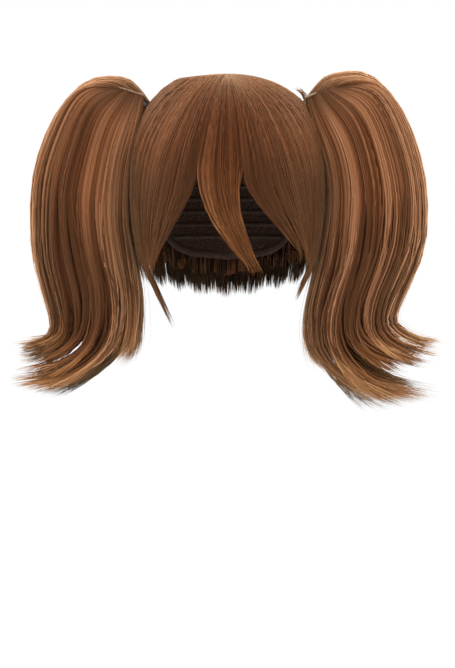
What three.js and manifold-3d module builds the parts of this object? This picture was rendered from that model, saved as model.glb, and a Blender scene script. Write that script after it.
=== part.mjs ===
// A costume wig with twin ponytails: a short bob with a parted fringe, sewn in sections to a thin
// stretch cap, and two full ponytails with flicked ends, each carried by a claw clip on the bob.
// Millimetres. +Z is up, the face opening looks along -Y, and +X is the viewer's right.
// The origin is the inside of the cap's crown, where the top of the head sits.

import * as THREE from "three";
import { mergeVertices } from "three/addons/utils/BufferGeometryUtils.js";
import Module from "manifold-3d";

const wasm = await Module();
wasm.setup();

// Driving dimensions

const CAP_WALL = 1.6;
const SEAT_GAP = 1.2; // between the cap and the backing of the hair that is sewn on it
const PIECE_GAP = 0.4; // between neighbouring pieces
const FACET_GAP = 0.6; // what the flat facets of a round form take off its size
const HAIR_THICKNESS = 6.6; // of the bob over the widest part of the head
const WHORL_THICKNESS = 2.2; // where the bob's hair starts, at the crown
const TIP_THICKNESS = 2.2;
const TIP_WIDTH = 0.3; // of a lock's full width
const TAPER_FROM = 0.6; // share of a lock's length where its tip starts to narrow
const WHORL_DROP = 1.1; // how far below the crown the bob's hair starts
const PART_DROP = 80; // height of the two partings of the fringe
const FORM_DROP = 60; // down to here the ponytails lie on the bob
const TIP_LIFT = 5; // how far the tips of the bob stand off the head
const GROOVE = 0.5; // thickness between two locks, as a share of the thickness on a lock
const NOTCH = 0.74; // where two locks of a section part, between the partings and the tips
const EDGE_END = 0.9; // the same for the outer edge of a section

// How finely the pieces are faceted
const HEAD_COLUMNS = 32;
const CAP_ROWS = 7;
const FORM_ROWS = 9;
const UPPER_ROWS = 7; // of the bob, above the partings
const LOWER_ROWS = 6;
const TAIL_ROWS = 12; // of a ponytail, above its tips
const TAIL_TIP_ROWS = 4;
const CLAW_STEPS = 10;
const TUFT_SIDES = 10;
const TUFT_ROWS = 7;
const SAME_POINT = 1e-4; // points nearer than this are one
const NUDGE = { azimuth: 0.5, fall: 0.05 }; // for the slope of the head at a point

// The head inside the cap. Each row is a ring at one distance below the crown.
const HEAD_RINGS = [
  { drop: 0, halfWidth: 0, front: 0, back: 0 },
  { drop: 2.5, halfWidth: 24, front: 28, back: 29 },
  { drop: 7, halfWidth: 38, front: 46, back: 48 },
  { drop: 15, halfWidth: 51, front: 62, back: 66 },
  { drop: 28, halfWidth: 63, front: 76, back: 82 },
  { drop: 45, halfWidth: 71, front: 86, back: 93 },
  { drop: 70, halfWidth: 76.5, front: 92, back: 101 },
  { drop: 95, halfWidth: 77.5, front: 93, back: 103 },
  { drop: 125, halfWidth: 76, front: 91, back: 99 },
  { drop: 155, halfWidth: 71, front: 86, back: 90 },
  { drop: 185, halfWidth: 63, front: 78, back: 79 },
  { drop: 222, halfWidth: 55, front: 67, back: 70 },
];

// The cap's lower edge: forehead, temple, ear tab, over the ear, nape. The same on both sides.
const CAP_EDGE = [
  { azimuth: 0, drop: 50 },
  { azimuth: 30, drop: 53 },
  { azimuth: 55, drop: 70 },
  { azimuth: 68, drop: 108 },
  { azimuth: 78, drop: 128 },
  { azimuth: 88, drop: 116 },
  { azimuth: 102, drop: 106 },
  { azimuth: 118, drop: 124 },
  { azimuth: 140, drop: 152 },
  { azimuth: 180, drop: 162 },
];

// The bob's locks, by section, in their order round the head. Azimuth is 0 at the middle of the
// forehead and 90 at the viewer's right: root is at the whorl, mid at the height of the partings
// and tip at the end of the lock. Sweep is how late it turns to its tip, 1 for a steady turn.
const BOB_SECTIONS = {
  fringe_centre: [
    { root: -17, mid: -11.2, tip: 14, tipDrop: 162, width: 23, sweep: 2.6 },
    { root: -1, mid: -4.6, tip: 18.5, tipDrop: 167, width: 20, sweep: 2.7 },
    { root: 14, mid: 1.5, tip: 22.5, tipDrop: 168, width: 16, sweep: 2.7 },
  ],
  fringe_right: [
    { root: 30, mid: 17.5, tip: 52, tipDrop: 151, width: 32, sweep: 2.1 },
    { root: 47, mid: 32, tip: 61, tipDrop: 158, width: 30, sweep: 1.6 },
    { root: 63, mid: 48, tip: 68, tipDrop: 164, width: 30, sweep: 1.5 },
    { root: 79, mid: 66, tip: 71, tipDrop: 164, width: 31, sweep: 1.5 },
  ],
  side_right: [
    { root: 94, mid: 83, tip: 67, tipDrop: 190, width: 30, sweep: 3 },
    { root: 108, mid: 98, tip: 90, tipDrop: 175, width: 31, sweep: 1.5 },
    { root: 122, mid: 113, tip: 106, tipDrop: 176, width: 33, sweep: 1.5 },
  ],
  back_hair: [
    { root: 137, mid: 128, tip: 124, tipDrop: 179, width: 36, sweep: 1.5 },
    { root: 152, mid: 145, tip: 142, tipDrop: 184, width: 36, sweep: 1.5 },
    { root: 167, mid: 162, tip: 161, tipDrop: 189, width: 36, sweep: 1.5 },
    { root: 180, mid: 180, tip: 181, tipDrop: 192, width: 36, sweep: 1.5 },
    { root: 193, mid: 198, tip: 200, tipDrop: 190, width: 36, sweep: 1.5 },
    { root: 207, mid: 215, tip: 218, tipDrop: 185, width: 36, sweep: 1.5 },
    { root: 222, mid: 231, tip: 236, tipDrop: 180, width: 36, sweep: 1.5 },
  ],
  side_left: [
    { root: 237, mid: 246, tip: 255, tipDrop: 176, width: 33, sweep: 1.5 },
    { root: 251, mid: 261, tip: 269, tipDrop: 175, width: 31, sweep: 1.5 },
    { root: 266, mid: 276, tip: 309, tipDrop: 215, width: 26, sweep: 2.6 },
  ],
  fringe_left: [
    { root: 280, mid: 291, tip: 293, tipDrop: 160, width: 29, sweep: 1.5 },
    { root: 295, mid: 306, tip: 296, tipDrop: 168, width: 29, sweep: 1.5 },
    { root: 311, mid: 320, tip: 302, tipDrop: 166, width: 29, sweep: 1.5 },
    { root: 327, mid: 335.5, tip: 307, tipDrop: 160, width: 32, sweep: 1.8 },
  ],
};

// How far below the crown the hair of each section reaches its full thickness.
const FULL_DROPS = {
  fringe_centre: 16,
  fringe_right: 34,
  side_right: 34,
  back_hair: 22,
  side_left: 9,
  fringe_left: 9,
};

// The ponytails from the clip to the tips. A row is one section across the flow of the hair:
// its inner and outer edge seen from the front, its half depth and the middle of that depth.
const TAIL_SECTIONS = {
  left: [
    { innerX: -66, innerZ: -44, outerX: -61, outerZ: -24, halfDepth: 28, midY: 9 },
    { innerX: -75, innerZ: -48, outerX: -76, outerZ: -5.5, halfDepth: 33, midY: 9 },
    { innerX: -82, innerZ: -54, outerX: -97, outerZ: 3.2, halfDepth: 38, midY: 9 },
    { innerX: -88, innerZ: -66, outerX: -125.5, outerZ: -1, halfDepth: 42, midY: 9 },
    { innerX: -88.3, innerZ: -88, outerX: -150.5, outerZ: -26, halfDepth: 46, midY: 9 },
    { innerX: -88.2, innerZ: -112, outerX: -167, outerZ: -60, halfDepth: 48, midY: 9 },
    { innerX: -87.5, innerZ: -134, outerX: -175.2, outerZ: -98, halfDepth: 48, midY: 9 },
    { innerX: -81.5, innerZ: -165, outerX: -175, outerZ: -152, halfDepth: 46, midY: 8 },
    { innerX: -74.5, innerZ: -192, outerX: -166, outerZ: -190, halfDepth: 41, midY: 6 },
    { innerX: -73, innerZ: -224, outerX: -157.3, outerZ: -218, halfDepth: 36, midY: 4 },
    { innerX: -82, innerZ: -247, outerX: -160.5, outerZ: -227, halfDepth: 32, midY: 2 },
    { innerX: -113, innerZ: -262, outerX: -169, outerZ: -231, halfDepth: 28, midY: 1 },
    { innerX: -152, innerZ: -283, outerX: -181, outerZ: -234, halfDepth: 24, midY: 0 },
    { innerX: -194, innerZ: -278, outerX: -191, outerZ: -238, halfDepth: 20, midY: 0 },
  ],
  right: [
    { innerX: 65, innerZ: -42, outerX: 59, outerZ: -22, halfDepth: 28, midY: 3 },
    { innerX: 74, innerZ: -47, outerX: 75, outerZ: -5, halfDepth: 33, midY: 3 },
    { innerX: 81, innerZ: -54, outerX: 95, outerZ: 5.5, halfDepth: 38, midY: 3 },
    { innerX: 87.5, innerZ: -66, outerX: 125, outerZ: 5, halfDepth: 42, midY: 2 },
    { innerX: 88.3, innerZ: -88, outerX: 151.5, outerZ: -21, halfDepth: 46, midY: 1 },
    { innerX: 88, innerZ: -112, outerX: 168.8, outerZ: -59, halfDepth: 48, midY: 0 },
    { innerX: 85.5, innerZ: -136, outerX: 177.3, outerZ: -102, halfDepth: 48, midY: 0 },
    { innerX: 80, innerZ: -167, outerX: 175.2, outerZ: -150, halfDepth: 46, midY: 0 },
    { innerX: 69.5, innerZ: -198, outerX: 160, outerZ: -188, halfDepth: 42, midY: 0 },
    { innerX: 62.5, innerZ: -228, outerX: 147.7, outerZ: -212, halfDepth: 37, midY: 0 },
    { innerX: 68, innerZ: -248, outerX: 152, outerZ: -219, halfDepth: 33, midY: -1 },
    { innerX: 91, innerZ: -263, outerX: 164, outerZ: -227.5, halfDepth: 29, midY: -1 },
    { innerX: 126, innerZ: -291, outerX: 179, outerZ: -233.5, halfDepth: 25, midY: -2 },
    { innerX: 188, innerZ: -285, outerX: 193, outerZ: -240, halfDepth: 21, midY: -2 },
  ],
};

// The locks of a ponytail, placed round its section: turn is 0 at the outer edge and 90 at the
// back, and end is the share of the ponytail's length at which the lock's tip lies.
const TAIL_LOCKS = [
  { turn: 0, end: 1.0 },
  { turn: 36, end: 0.96 },
  { turn: 74, end: 1.0 },
  { turn: 112, end: 0.95 },
  { turn: 148, end: 0.97 },
  { turn: 182, end: 1.0 },
  { turn: 216, end: 0.98 },
  { turn: 252, end: 0.95 },
  { turn: 290, end: 0.99 },
  { turn: 326, end: 0.96 },
];
const TAIL_GROOVE = 0.86; // how far out the hair lies between two locks, 1 on a lock
const TAIL_PART = 0.72; // share of the length down to which the locks lie together
const TAIL_NOTCH = 0.8; // where two locks part
const TAIL_HOLLOW = 0.76; // how deep the hollow between the tips of the locks goes
const LOCK_SHOULDER = 0.5; // where a lock's face turns down, from its middle to its edge

// The claw clips. Each is an arch that stands on the bob and grips a tuft of its hair.
const CLAW = { radius: 9.5, wall: 2.2, length: 44, arc: 236, teeth: 5, toothDepth: 5 };
const CLAW_LIFT = 12.5; // middle of the arch above the head
const CLAW_SEATS = {
  left: { azimuth: -96, drop: 34 },
  right: { azimuth: 93, drop: 34 },
};
const TUFT = { halfWidth: 6, halfLength: 19, lift: 11.5 };

const SKIN_TOP = { drop: 0.8, thickness: 1.3 };

const MATERIALS = {
  hair: new THREE.MeshStandardMaterial({ color: 0x6b3f26, roughness: 0.45, metalness: 0 }),
  tail: new THREE.MeshStandardMaterial({ color: 0x70422a, roughness: 0.45, metalness: 0 }),
  net: new THREE.MeshStandardMaterial({ color: 0x2e1c13, roughness: 0.85, metalness: 0 }),
  skin: new THREE.MeshStandardMaterial({ color: 0xc9a58c, roughness: 0.7, metalness: 0 }),
  claw: new THREE.MeshStandardMaterial({ color: 0x1d1512, roughness: 0.4, metalness: 0 }),
};

// Small tools

const { lerp, smoothstep, clamp, degToRad } = THREE.MathUtils;
const range = (count) => Array.from({ length: count }, (_, index) => index);

// A smooth curve through the named columns of a table, as a function that gives one row.
function tableCurve(rows, keyOf, columns) {
  const keys = rows.map(keyOf);
  const values = rows.flatMap((row) => columns.map((column) => row[column]));
  const curve = new THREE.CubicInterpolant(keys, values, columns.length);
  return (key) => {
    const found = curve.evaluate(clamp(key, keys[0], keys.at(-1)));
    return Object.fromEntries(columns.map((column, index) => [column, found[index]]));
  };
}

const middleOf = (points) =>
  points.reduce((sum, point) => sum.add(point), new THREE.Vector3()).divideScalar(points.length);

// A closed body through rings of points that all have the same number of points. Each end is
// closed by faces to a point, which is the middle of the ring if no other is given.
function loft(rings, endPoint = middleOf(rings.at(-1))) {
  const sides = rings[0].length;
  const corner = (ring, side) => ring * sides + (side % sides);
  const last = rings.length - 1;
  const [startTip, endTip] = [rings.length * sides, rings.length * sides + 1];
  const faces = [];
  for (let side = 0; side < sides; side++) {
    for (let ring = 0; ring < last; ring++) {
      const [a, b] = [corner(ring, side), corner(ring, side + 1)];
      const [c, d] = [corner(ring + 1, side), corner(ring + 1, side + 1)];
      faces.push(a, b, d, a, d, c);
    }
    faces.push(startTip, corner(0, side + 1), corner(0, side));
    faces.push(endTip, corner(last, side), corner(last, side + 1));
  }
  const points = [...rings.flat(), middleOf(rings[0]), endPoint];
  return solidOf(new THREE.BufferGeometry().setFromPoints(points).setIndex(faces));
}

// A closed sheet between two grids of points, each a list of columns with the same number of rows.
function sheet(outer, inner) {
  const [columns, rows] = [outer.length, outer[0].length];
  const top = (column, row) => column * rows + row;
  const under = (column, row) => columns * rows + top(column, row);
  const faces = [];
  const quad = (a, b, c, d) => faces.push(a, b, c, a, c, d);
  for (let column = 0; column + 1 < columns; column++) {
    const next = column + 1;
    for (let row = 0; row + 1 < rows; row++) {
      quad(top(column, row), top(column, row + 1), top(next, row + 1), top(next, row));
      quad(under(column, row), under(next, row), under(next, row + 1), under(column, row + 1));
    }
    quad(top(column, 0), top(next, 0), under(next, 0), under(column, 0));
    const end = rows - 1;
    quad(top(column, end), under(column, end), under(next, end), top(next, end));
  }
  const side = columns - 1;
  for (let row = 0; row + 1 < rows; row++) {
    quad(top(0, row), under(0, row), under(0, row + 1), top(0, row + 1));
    quad(top(side, row), top(side, row + 1), under(side, row + 1), under(side, row));
  }
  const points = [...outer.flat(), ...inner.flat()];
  return solidOf(new THREE.BufferGeometry().setFromPoints(points).setIndex(faces));
}

// A closed three.js geometry as a solid with its faces pointing out.
function solidOf(geometry) {
  geometry.deleteAttribute("normal");
  geometry.deleteAttribute("uv");
  const merged = mergeVertices(geometry, SAME_POINT);
  const vertProperties = new Float32Array(merged.attributes.position.array);
  const triVerts = new Uint32Array(merged.index.array);
  const made = new wasm.Manifold(new wasm.Mesh({ numProp: 3, vertProperties, triVerts }));
  if (made.volume() > 0) return made;
  triVerts.reverse();
  return new wasm.Manifold(new wasm.Mesh({ numProp: 3, vertProperties, triVerts }));
}

const cut = (solid, cutters) => cutters.reduce((left, cutter) => left.subtract(cutter), solid);

// The largest of the bodies that a cut leaves.
const mainBody = (solid) =>
  solid.decompose().reduce((best, body) => (body.volume() > best.volume() ? body : best));

function namedMesh(name, solid, material) {
  const { vertProperties, triVerts } = mainBody(solid).getMesh();
  const geometry = new THREE.BufferGeometry();
  geometry.setAttribute("position", new THREE.BufferAttribute(vertProperties, 3));
  geometry.setIndex(new THREE.BufferAttribute(triVerts, 1));
  geometry.computeVertexNormals();
  const mesh = new THREE.Mesh(geometry, material);
  mesh.name = name;
  return mesh;
}

// The head's surface. Fall is the square root of the distance below the crown, which spaces
// rings evenly over the dome, and lift is the distance out from the head.

const FIRST_FALL = 0.35; // a ring this near the crown is closed by a flat face
const headRing = tableCurve(HEAD_RINGS, (row) => Math.sqrt(row.drop), ["halfWidth", "front", "back"]);
const capEdge = tableCurve(CAP_EDGE, (row) => row.azimuth, ["drop"]);
const headColumns = range(HEAD_COLUMNS).map((column) => (column * 360) / HEAD_COLUMNS - 180);

function onHead(azimuth, fall) {
  const ring = headRing(fall);
  const angle = degToRad(azimuth);
  const depth = Math.cos(angle) > 0 ? ring.front : ring.back;
  return new THREE.Vector3(ring.halfWidth * Math.sin(angle), -depth * Math.cos(angle), -fall * fall);
}

// A short step round the head at a point, in the way of growing azimuth.
const roundHead = (azimuth, fall) =>
  onHead(azimuth + NUDGE.azimuth, fall).sub(onHead(azimuth - NUDGE.azimuth, fall));

function headNormal(azimuth, fall) {
  const along = onHead(azimuth, fall + NUDGE.fall).sub(onHead(azimuth, fall - NUDGE.fall));
  return along.cross(roundHead(azimuth, fall)).normalize();
}

const overHead = (azimuth, fall, lift) =>
  onHead(azimuth, fall).addScaledVector(headNormal(azimuth, fall), lift);

// Millimetres round the head for one degree of azimuth.
const ringScale = (azimuth, fall) => roundHead(azimuth, fall).length() / (2 * NUDGE.azimuth);

// Rings over the head at one lift. Each azimuth has its own list of falls.
function headRings(lift, fallsAt) {
  const columns = headColumns.map((azimuth) =>
    fallsAt(azimuth).map((fall) => overHead(azimuth, fall, lift)),
  );
  return columns[0].map((_, row) => columns.map((column) => column[row]));
}

// A wall between two lifts, open below.
const headWall = (innerLift, outerLift, fallsAt) =>
  loft([...headRings(outerLift, fallsAt), ...headRings(innerLift, fallsAt).toReversed()]);

const steps = (from, to, count) => range(count + 1).map((step) => lerp(from, to, step / count));
const edgeFall = (azimuth) => Math.sqrt(capEdge(Math.abs(azimuth)).drop);
const capFalls = (azimuth) => steps(FIRST_FALL, edgeFall(azimuth), CAP_ROWS);
const formFalls = () => steps(FIRST_FALL, Math.sqrt(FORM_DROP), FORM_ROWS);
const skinTopFalls = () => [FIRST_FALL, Math.sqrt(SKIN_TOP.drop)];

const BACKING_LIFT = CAP_WALL + SEAT_GAP;
const hairThickness = (section, fall) =>
  lerp(WHORL_THICKNESS, HAIR_THICKNESS, smoothstep(fall * fall, WHORL_DROP, FULL_DROPS[section]));

// The head with all its hair, as a form that keeps the clips and the ponytails clear of it.
const hairyHead = () =>
  loft(headRings(BACKING_LIFT + HAIR_THICKNESS + FACET_GAP + PIECE_GAP, formFalls));

// The bob. Its locks lie side by side round the head. Each is a strip from the whorl to its tip,
// and the locks of a section are one sheet of hair that parts into its tips below.

const bobLocks = Object.entries(BOB_SECTIONS).flatMap(([section, locks]) =>
  locks.map((lock) => ({ section, ...lock })),
);
const START_FALL = Math.sqrt(WHORL_DROP);
const PART_FALL = Math.sqrt(PART_DROP);

function lockAzimuth({ root, mid, tip, tipDrop, sweep }, fall) {
  if (fall < PART_FALL) return lerp(root, mid, (fall - START_FALL) / (PART_FALL - START_FALL));
  const share = Math.min(1, (fall - PART_FALL) / (Math.sqrt(tipDrop) - PART_FALL));
  return lerp(mid, tip, share ** sweep);
}

const lockShare = (lock, fall) => (fall - START_FALL) / (Math.sqrt(lock.tipDrop) - START_FALL);
const lockTaper = (lock, fall) => smoothstep(lockShare(lock, fall), TAPER_FROM, 1);

// Half a lock's own width, in degrees of azimuth.
function lockHalfAngle(lock, fall) {
  const scale = ringScale(lockAzimuth(lock, fall), fall);
  const fullScale = ringScale(lock.mid, PART_FALL);
  const halfWidth = (lock.width / 2) * Math.min(1, scale / fullScale);
  return (halfWidth * lerp(1, TIP_WIDTH, lockTaper(lock, fall))) / scale;
}

// The lock at one place in the order round the head, which may run past either end of the list.
function lockAt(index) {
  const turns = Math.floor(index / bobLocks.length);
  const { root, mid, tip, ...rest } = bobLocks[index - turns * bobLocks.length];
  const turned = (azimuth) => azimuth + 360 * turns;
  return { ...rest, root: turned(root), mid: turned(mid), tip: turned(tip) };
}

// The angle from a lock's middle to its edge on one side, -1 or 1. Locks of one section meet, and
// those of different sections keep a gap.
function lockReach(index, side, fall) {
  const [lock, next] = [lockAt(index), lockAt(index + side)];
  const middle = lockAzimuth(lock, fall);
  const meeting = Math.abs(lockAzimuth(next, fall) - middle) / 2;
  if (lock.section === next.section) return meeting;
  const apart = meeting - PIECE_GAP / 2 / ringScale(middle, fall);
  return fall > PART_FALL ? Math.min(apart, lockHalfAngle(lock, fall)) : apart;
}

// A column of a section: a line down the head, given by its azimuth at each fall.
const hairColumn = (lock, endDrop, relief, azimuthAt) => ({ lock, endDrop, relief, azimuthAt });

function edgeColumn(index, side) {
  const [lock, next] = [lockAt(index), lockAt(index + side)];
  const joined = lock.section === next.section;
  const lowest = joined ? Math.min(lock.tipDrop, next.tipDrop) : lock.tipDrop;
  const endDrop = lerp(PART_DROP, lowest, joined ? NOTCH : EDGE_END);
  return hairColumn(
    lock,
    endDrop,
    GROOVE,
    (fall) => lockAzimuth(lock, fall) + side * lockReach(index, side, fall),
  );
}

function shoulderColumn(index, side) {
  const lock = lockAt(index);
  return hairColumn(lock, lock.tipDrop, 1, (fall) => {
    const reach = Math.min(Math.abs(lockReach(index, side, fall)), lockHalfAngle(lock, fall));
    return lockAzimuth(lock, fall) + side * LOCK_SHOULDER * reach;
  });
}

function bobSection(section) {
  const first = bobLocks.findIndex((lock) => lock.section === section);
  const count = BOB_SECTIONS[section].length;
  const columns = range(count).flatMap((place) => [
    edgeColumn(first + place, -1),
    shoulderColumn(first + place, -1),
    shoulderColumn(first + place, 1),
  ]);
  columns.push(edgeColumn(first + count - 1, 1));
  const fallsTo = (endDrop) => [
    ...steps(START_FALL, PART_FALL, UPPER_ROWS),
    ...steps(PART_FALL, Math.sqrt(endDrop), LOWER_ROWS).slice(1),
  ];
  const surface = (share) =>
    columns.map(({ lock, endDrop, relief, azimuthAt }) =>
      fallsTo(endDrop).map((fall) => {
        const taper = lockTaper(lock, fall);
        const thickness = lerp(hairThickness(section, fall), TIP_THICKNESS, taper);
        const lift = BACKING_LIFT + TIP_LIFT * taper + share * relief * thickness;
        return overHead(azimuthAt(fall), fall, lift);
      }),
    );
  return sheet(surface(1), surface(0));
}

// The clips. Each seat is a frame on the head: X down the head, Y round it and Z outwards.

function seatFrame({ azimuth, drop }) {
  const fall = Math.sqrt(drop);
  const out = headNormal(azimuth, fall);
  const down = roundHead(azimuth, fall).cross(out).normalize();
  const round = out.clone().cross(down);
  return new THREE.Matrix4().makeBasis(down, round, out).setPosition(onHead(azimuth, fall));
}

function tuftSolid(frame) {
  const height = CLAW_LIFT + CLAW.radius - CLAW.wall - PIECE_GAP - TUFT.lift;
  const egg = new THREE.SphereGeometry(1, TUFT_SIDES, TUFT_ROWS);
  egg.scale(TUFT.halfWidth, TUFT.halfLength, height).translate(0, 0, TUFT.lift);
  return solidOf(egg.applyMatrix4(frame));
}

function clawSolid(frame) {
  const [from, to] = [90 - CLAW.arc / 2, 90 + CLAW.arc / 2].map(degToRad);
  const profile = new THREE.Shape();
  profile.absarc(0, 0, CLAW.radius, from, to, false);
  profile.absarc(0, 0, CLAW.radius - CLAW.wall, to, from, true);
  const arch = new THREE.ExtrudeGeometry(profile, {
    depth: CLAW.length,
    bevelEnabled: false,
    curveSegments: CLAW_STEPS,
  });
  arch.translate(0, 0, -CLAW.length / 2).rotateX(Math.PI / 2);
  const pitch = CLAW.length / (CLAW.teeth - 0.5);
  const lowest = CLAW.radius * Math.sin(from);
  const gaps = range(CLAW.teeth - 1).map((index) => {
    const gap = new THREE.BoxGeometry(3 * CLAW.radius, pitch / 2, 2 * CLAW.toothDepth);
    return gap.translate(0, (index + 1 - CLAW.teeth / 2) * pitch, lowest);
  });
  const place = (geometry) => solidOf(geometry.translate(0, 0, CLAW_LIFT).applyMatrix4(frame));
  return cut(place(arch), gaps.map(place));
}

// The room that a clip takes inside its ponytail.
function clawRoom(frame) {
  const radius = CLAW.radius + PIECE_GAP;
  const room = new THREE.CylinderGeometry(radius, radius, CLAW.length + 2 * PIECE_GAP, 2 * CLAW_STEPS);
  return solidOf(room.translate(0, 0, CLAW_LIFT).applyMatrix4(frame));
}

// The ponytails. Across is -1 at a section's inner edge and 1 at its outer edge, and deep is -1 at
// its front and 1 at its back.

const TAIL_COLUMNS = ["innerX", "innerZ", "outerX", "outerZ", "halfDepth", "midY"];

function tailFlow(rows) {
  const section = tableCurve(rows, (row) => rows.indexOf(row) / (rows.length - 1), TAIL_COLUMNS);
  return (share, across, deep) => {
    const { innerX, innerZ, outerX, outerZ, halfDepth, midY } = section(share);
    const outward = (1 + across) / 2;
    return new THREE.Vector3(
      lerp(innerX, outerX, outward),
      midY + deep * halfDepth,
      lerp(innerZ, outerZ, outward),
    );
  };
}

// A line down a ponytail, at a fixed turn round it until a lock narrows to its tip.
function tailColumn(flow, { middle, offset, reach, end }) {
  const shares = [...steps(0, TAIL_PART, TAIL_ROWS), ...steps(TAIL_PART, end, TAIL_TIP_ROWS).slice(1)];
  return shares.map((share) => {
    const narrow = lerp(1, TIP_WIDTH, smoothstep(share / end, TAPER_FROM, 1));
    const angle = degToRad(middle + offset * narrow);
    return flow(share, reach * Math.cos(angle), reach * Math.sin(angle));
  });
}

// A ponytail: a tube with a ridge for each lock, which part into tips round a hollow end.
function tailHair(rows) {
  const flow = tailFlow(rows);
  const columns = TAIL_LOCKS.flatMap(({ turn, end }, index) => {
    const next = TAIL_LOCKS[(index + 1) % TAIL_LOCKS.length];
    const spread = (next.turn - turn + 360) % 360;
    const shoulder = (LOCK_SHOULDER * spread) / 2;
    return [
      tailColumn(flow, { middle: turn, offset: -shoulder, reach: 1, end }),
      tailColumn(flow, { middle: turn, offset: shoulder, reach: 1, end }),
      tailColumn(flow, { middle: turn + spread / 2, offset: 0, reach: TAIL_GROOVE, end: TAIL_NOTCH }),
    ];
  });
  const rings = columns[0].map((_, row) => columns.map((column) => column[row]));
  return loft(rings, flow(TAIL_HOLLOW, 0, 0));
}

// The assembly

const wig = new THREE.Group();
wig.add(namedMesh("wig_cap", headWall(0, CAP_WALL, capFalls), MATERIALS.net));
const skinSeat = CAP_WALL + PIECE_GAP;
const skinTop = headWall(skinSeat, skinSeat + SKIN_TOP.thickness, skinTopFalls);
wig.add(namedMesh("skin_top", skinTop, MATERIALS.skin));

const sections = Object.fromEntries(
  Object.keys(BOB_SECTIONS).map((section) => [section, bobSection(section)]),
);
const seats = Object.fromEntries(
  Object.entries(CLAW_SEATS).map(([side, seat]) => [side, seatFrame(seat)]),
);
for (const [side, seat] of Object.entries(seats)) {
  sections[`side_${side}`] = sections[`side_${side}`].add(tuftSolid(seat));
}
for (const [section, hair] of Object.entries(sections)) {
  wig.add(namedMesh(section, hair, MATERIALS.hair));
}

const head = hairyHead();
for (const [side, seat] of Object.entries(seats)) {
  wig.add(namedMesh(`claw_clip_${side}`, cut(clawSolid(seat), [head]), MATERIALS.claw));
  const hair = cut(tailHair(TAIL_SECTIONS[side]), [head, clawRoom(seat)]);
  wig.add(namedMesh(`ponytail_${side}`, hair, MATERIALS.tail));
}

export default wig;
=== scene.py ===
import math

import bpy
import numpy as np
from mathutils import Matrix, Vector


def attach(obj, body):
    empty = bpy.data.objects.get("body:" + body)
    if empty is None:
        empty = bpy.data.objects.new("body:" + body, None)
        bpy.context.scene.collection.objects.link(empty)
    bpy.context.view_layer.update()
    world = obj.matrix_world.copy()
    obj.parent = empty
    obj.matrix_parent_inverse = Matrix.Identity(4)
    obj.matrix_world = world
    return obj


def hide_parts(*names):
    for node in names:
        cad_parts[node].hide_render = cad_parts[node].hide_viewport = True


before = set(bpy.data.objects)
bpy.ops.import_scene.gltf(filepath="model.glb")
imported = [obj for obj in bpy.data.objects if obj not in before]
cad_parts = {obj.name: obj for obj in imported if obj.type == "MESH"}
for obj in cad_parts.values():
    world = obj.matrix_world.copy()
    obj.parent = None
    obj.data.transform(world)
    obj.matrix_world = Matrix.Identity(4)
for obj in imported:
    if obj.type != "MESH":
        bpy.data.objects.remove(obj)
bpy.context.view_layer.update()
mm = 0.001  # the tables below are in millimetres, the scene in metres
print("frame loaded:", len(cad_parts), "nodes")


# small tools

def mix(first, second, share):
    return first + (second - first) * share


def smoothStep(value, low, high):
    share = np.clip((value - low) / (high - low), 0, 1)
    return share * share * (3 - 2 * share)


def unit(vectors):
    return vectors / np.maximum(np.linalg.norm(vectors, axis=-1, keepdims=True), 1e-9)


def bridge(start, end, leave, arrive, p):  # a smooth curve between two points, with its slope at each
    return (
        start * (1 + 2 * p) * (1 - p) ** 2
        + end * p * p * (3 - 2 * p)
        + leave * p * (1 - p) ** 2
        - arrive * p * p * (1 - p)
    )


def smoothTable(keys, rows, at):  # a smooth curve through the rows of a table
    keys, rows = np.asarray(keys, float), np.asarray(rows, float)
    slopes = np.diff(rows, axis=0) / np.diff(keys)[:, None]
    bends = np.vstack([slopes[:1], (slopes[:-1] + slopes[1:]) / 2, slopes[-1:]])
    at = np.clip(at, keys[0], keys[-1])
    low = np.clip(np.searchsorted(keys, at, side="right") - 1, 0, len(keys) - 2)
    step = (keys[low + 1] - keys[low])[..., None]
    p = (at - keys[low])[..., None] / step
    return bridge(rows[low], rows[low + 1], bends[low] * step, bends[low + 1] * step, p)


def addPiece(mesh, material, node=None):
    piece = bpy.data.objects.new(mesh.name, mesh)
    mesh.materials.append(material)
    bpy.context.scene.collection.objects.link(piece)
    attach(piece, "root")
    if node:
        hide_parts(node)
    print(mesh.name, "triangles:", sum(len(face.vertices) - 2 for face in mesh.polygons))


def meshOf(name, points, faces, uvs=None, uvName="OFBake"):  # faces: lists of corner arrays, 3 or 4 wide
    mesh = bpy.data.meshes.new(name)
    corners = np.concatenate([f.ravel() for f in faces]).astype(np.int32)
    sizes = np.concatenate([np.full(len(f), f.shape[1]) for f in faces])
    starts = np.concatenate([[0], np.cumsum(sizes)[:-1]]).astype(np.int32)
    mesh.vertices.add(len(points))
    mesh.vertices.foreach_set("co", (points * mm).astype(np.float32).ravel())
    mesh.loops.add(len(corners))
    mesh.loops.foreach_set("vertex_index", corners)
    mesh.polygons.add(len(starts))
    mesh.polygons.foreach_set("loop_start", starts)
    mesh.polygons.foreach_set("use_smooth", np.ones(len(starts), bool))
    if uvs is not None:
        layer = mesh.uv_layers.new(name=uvName)
        layer.uv.foreach_set("vector", uvs[corners].astype(np.float32).ravel())
    mesh.update(calc_edges=True)
    mesh.validate()
    return mesh


# the head under the cap

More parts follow.
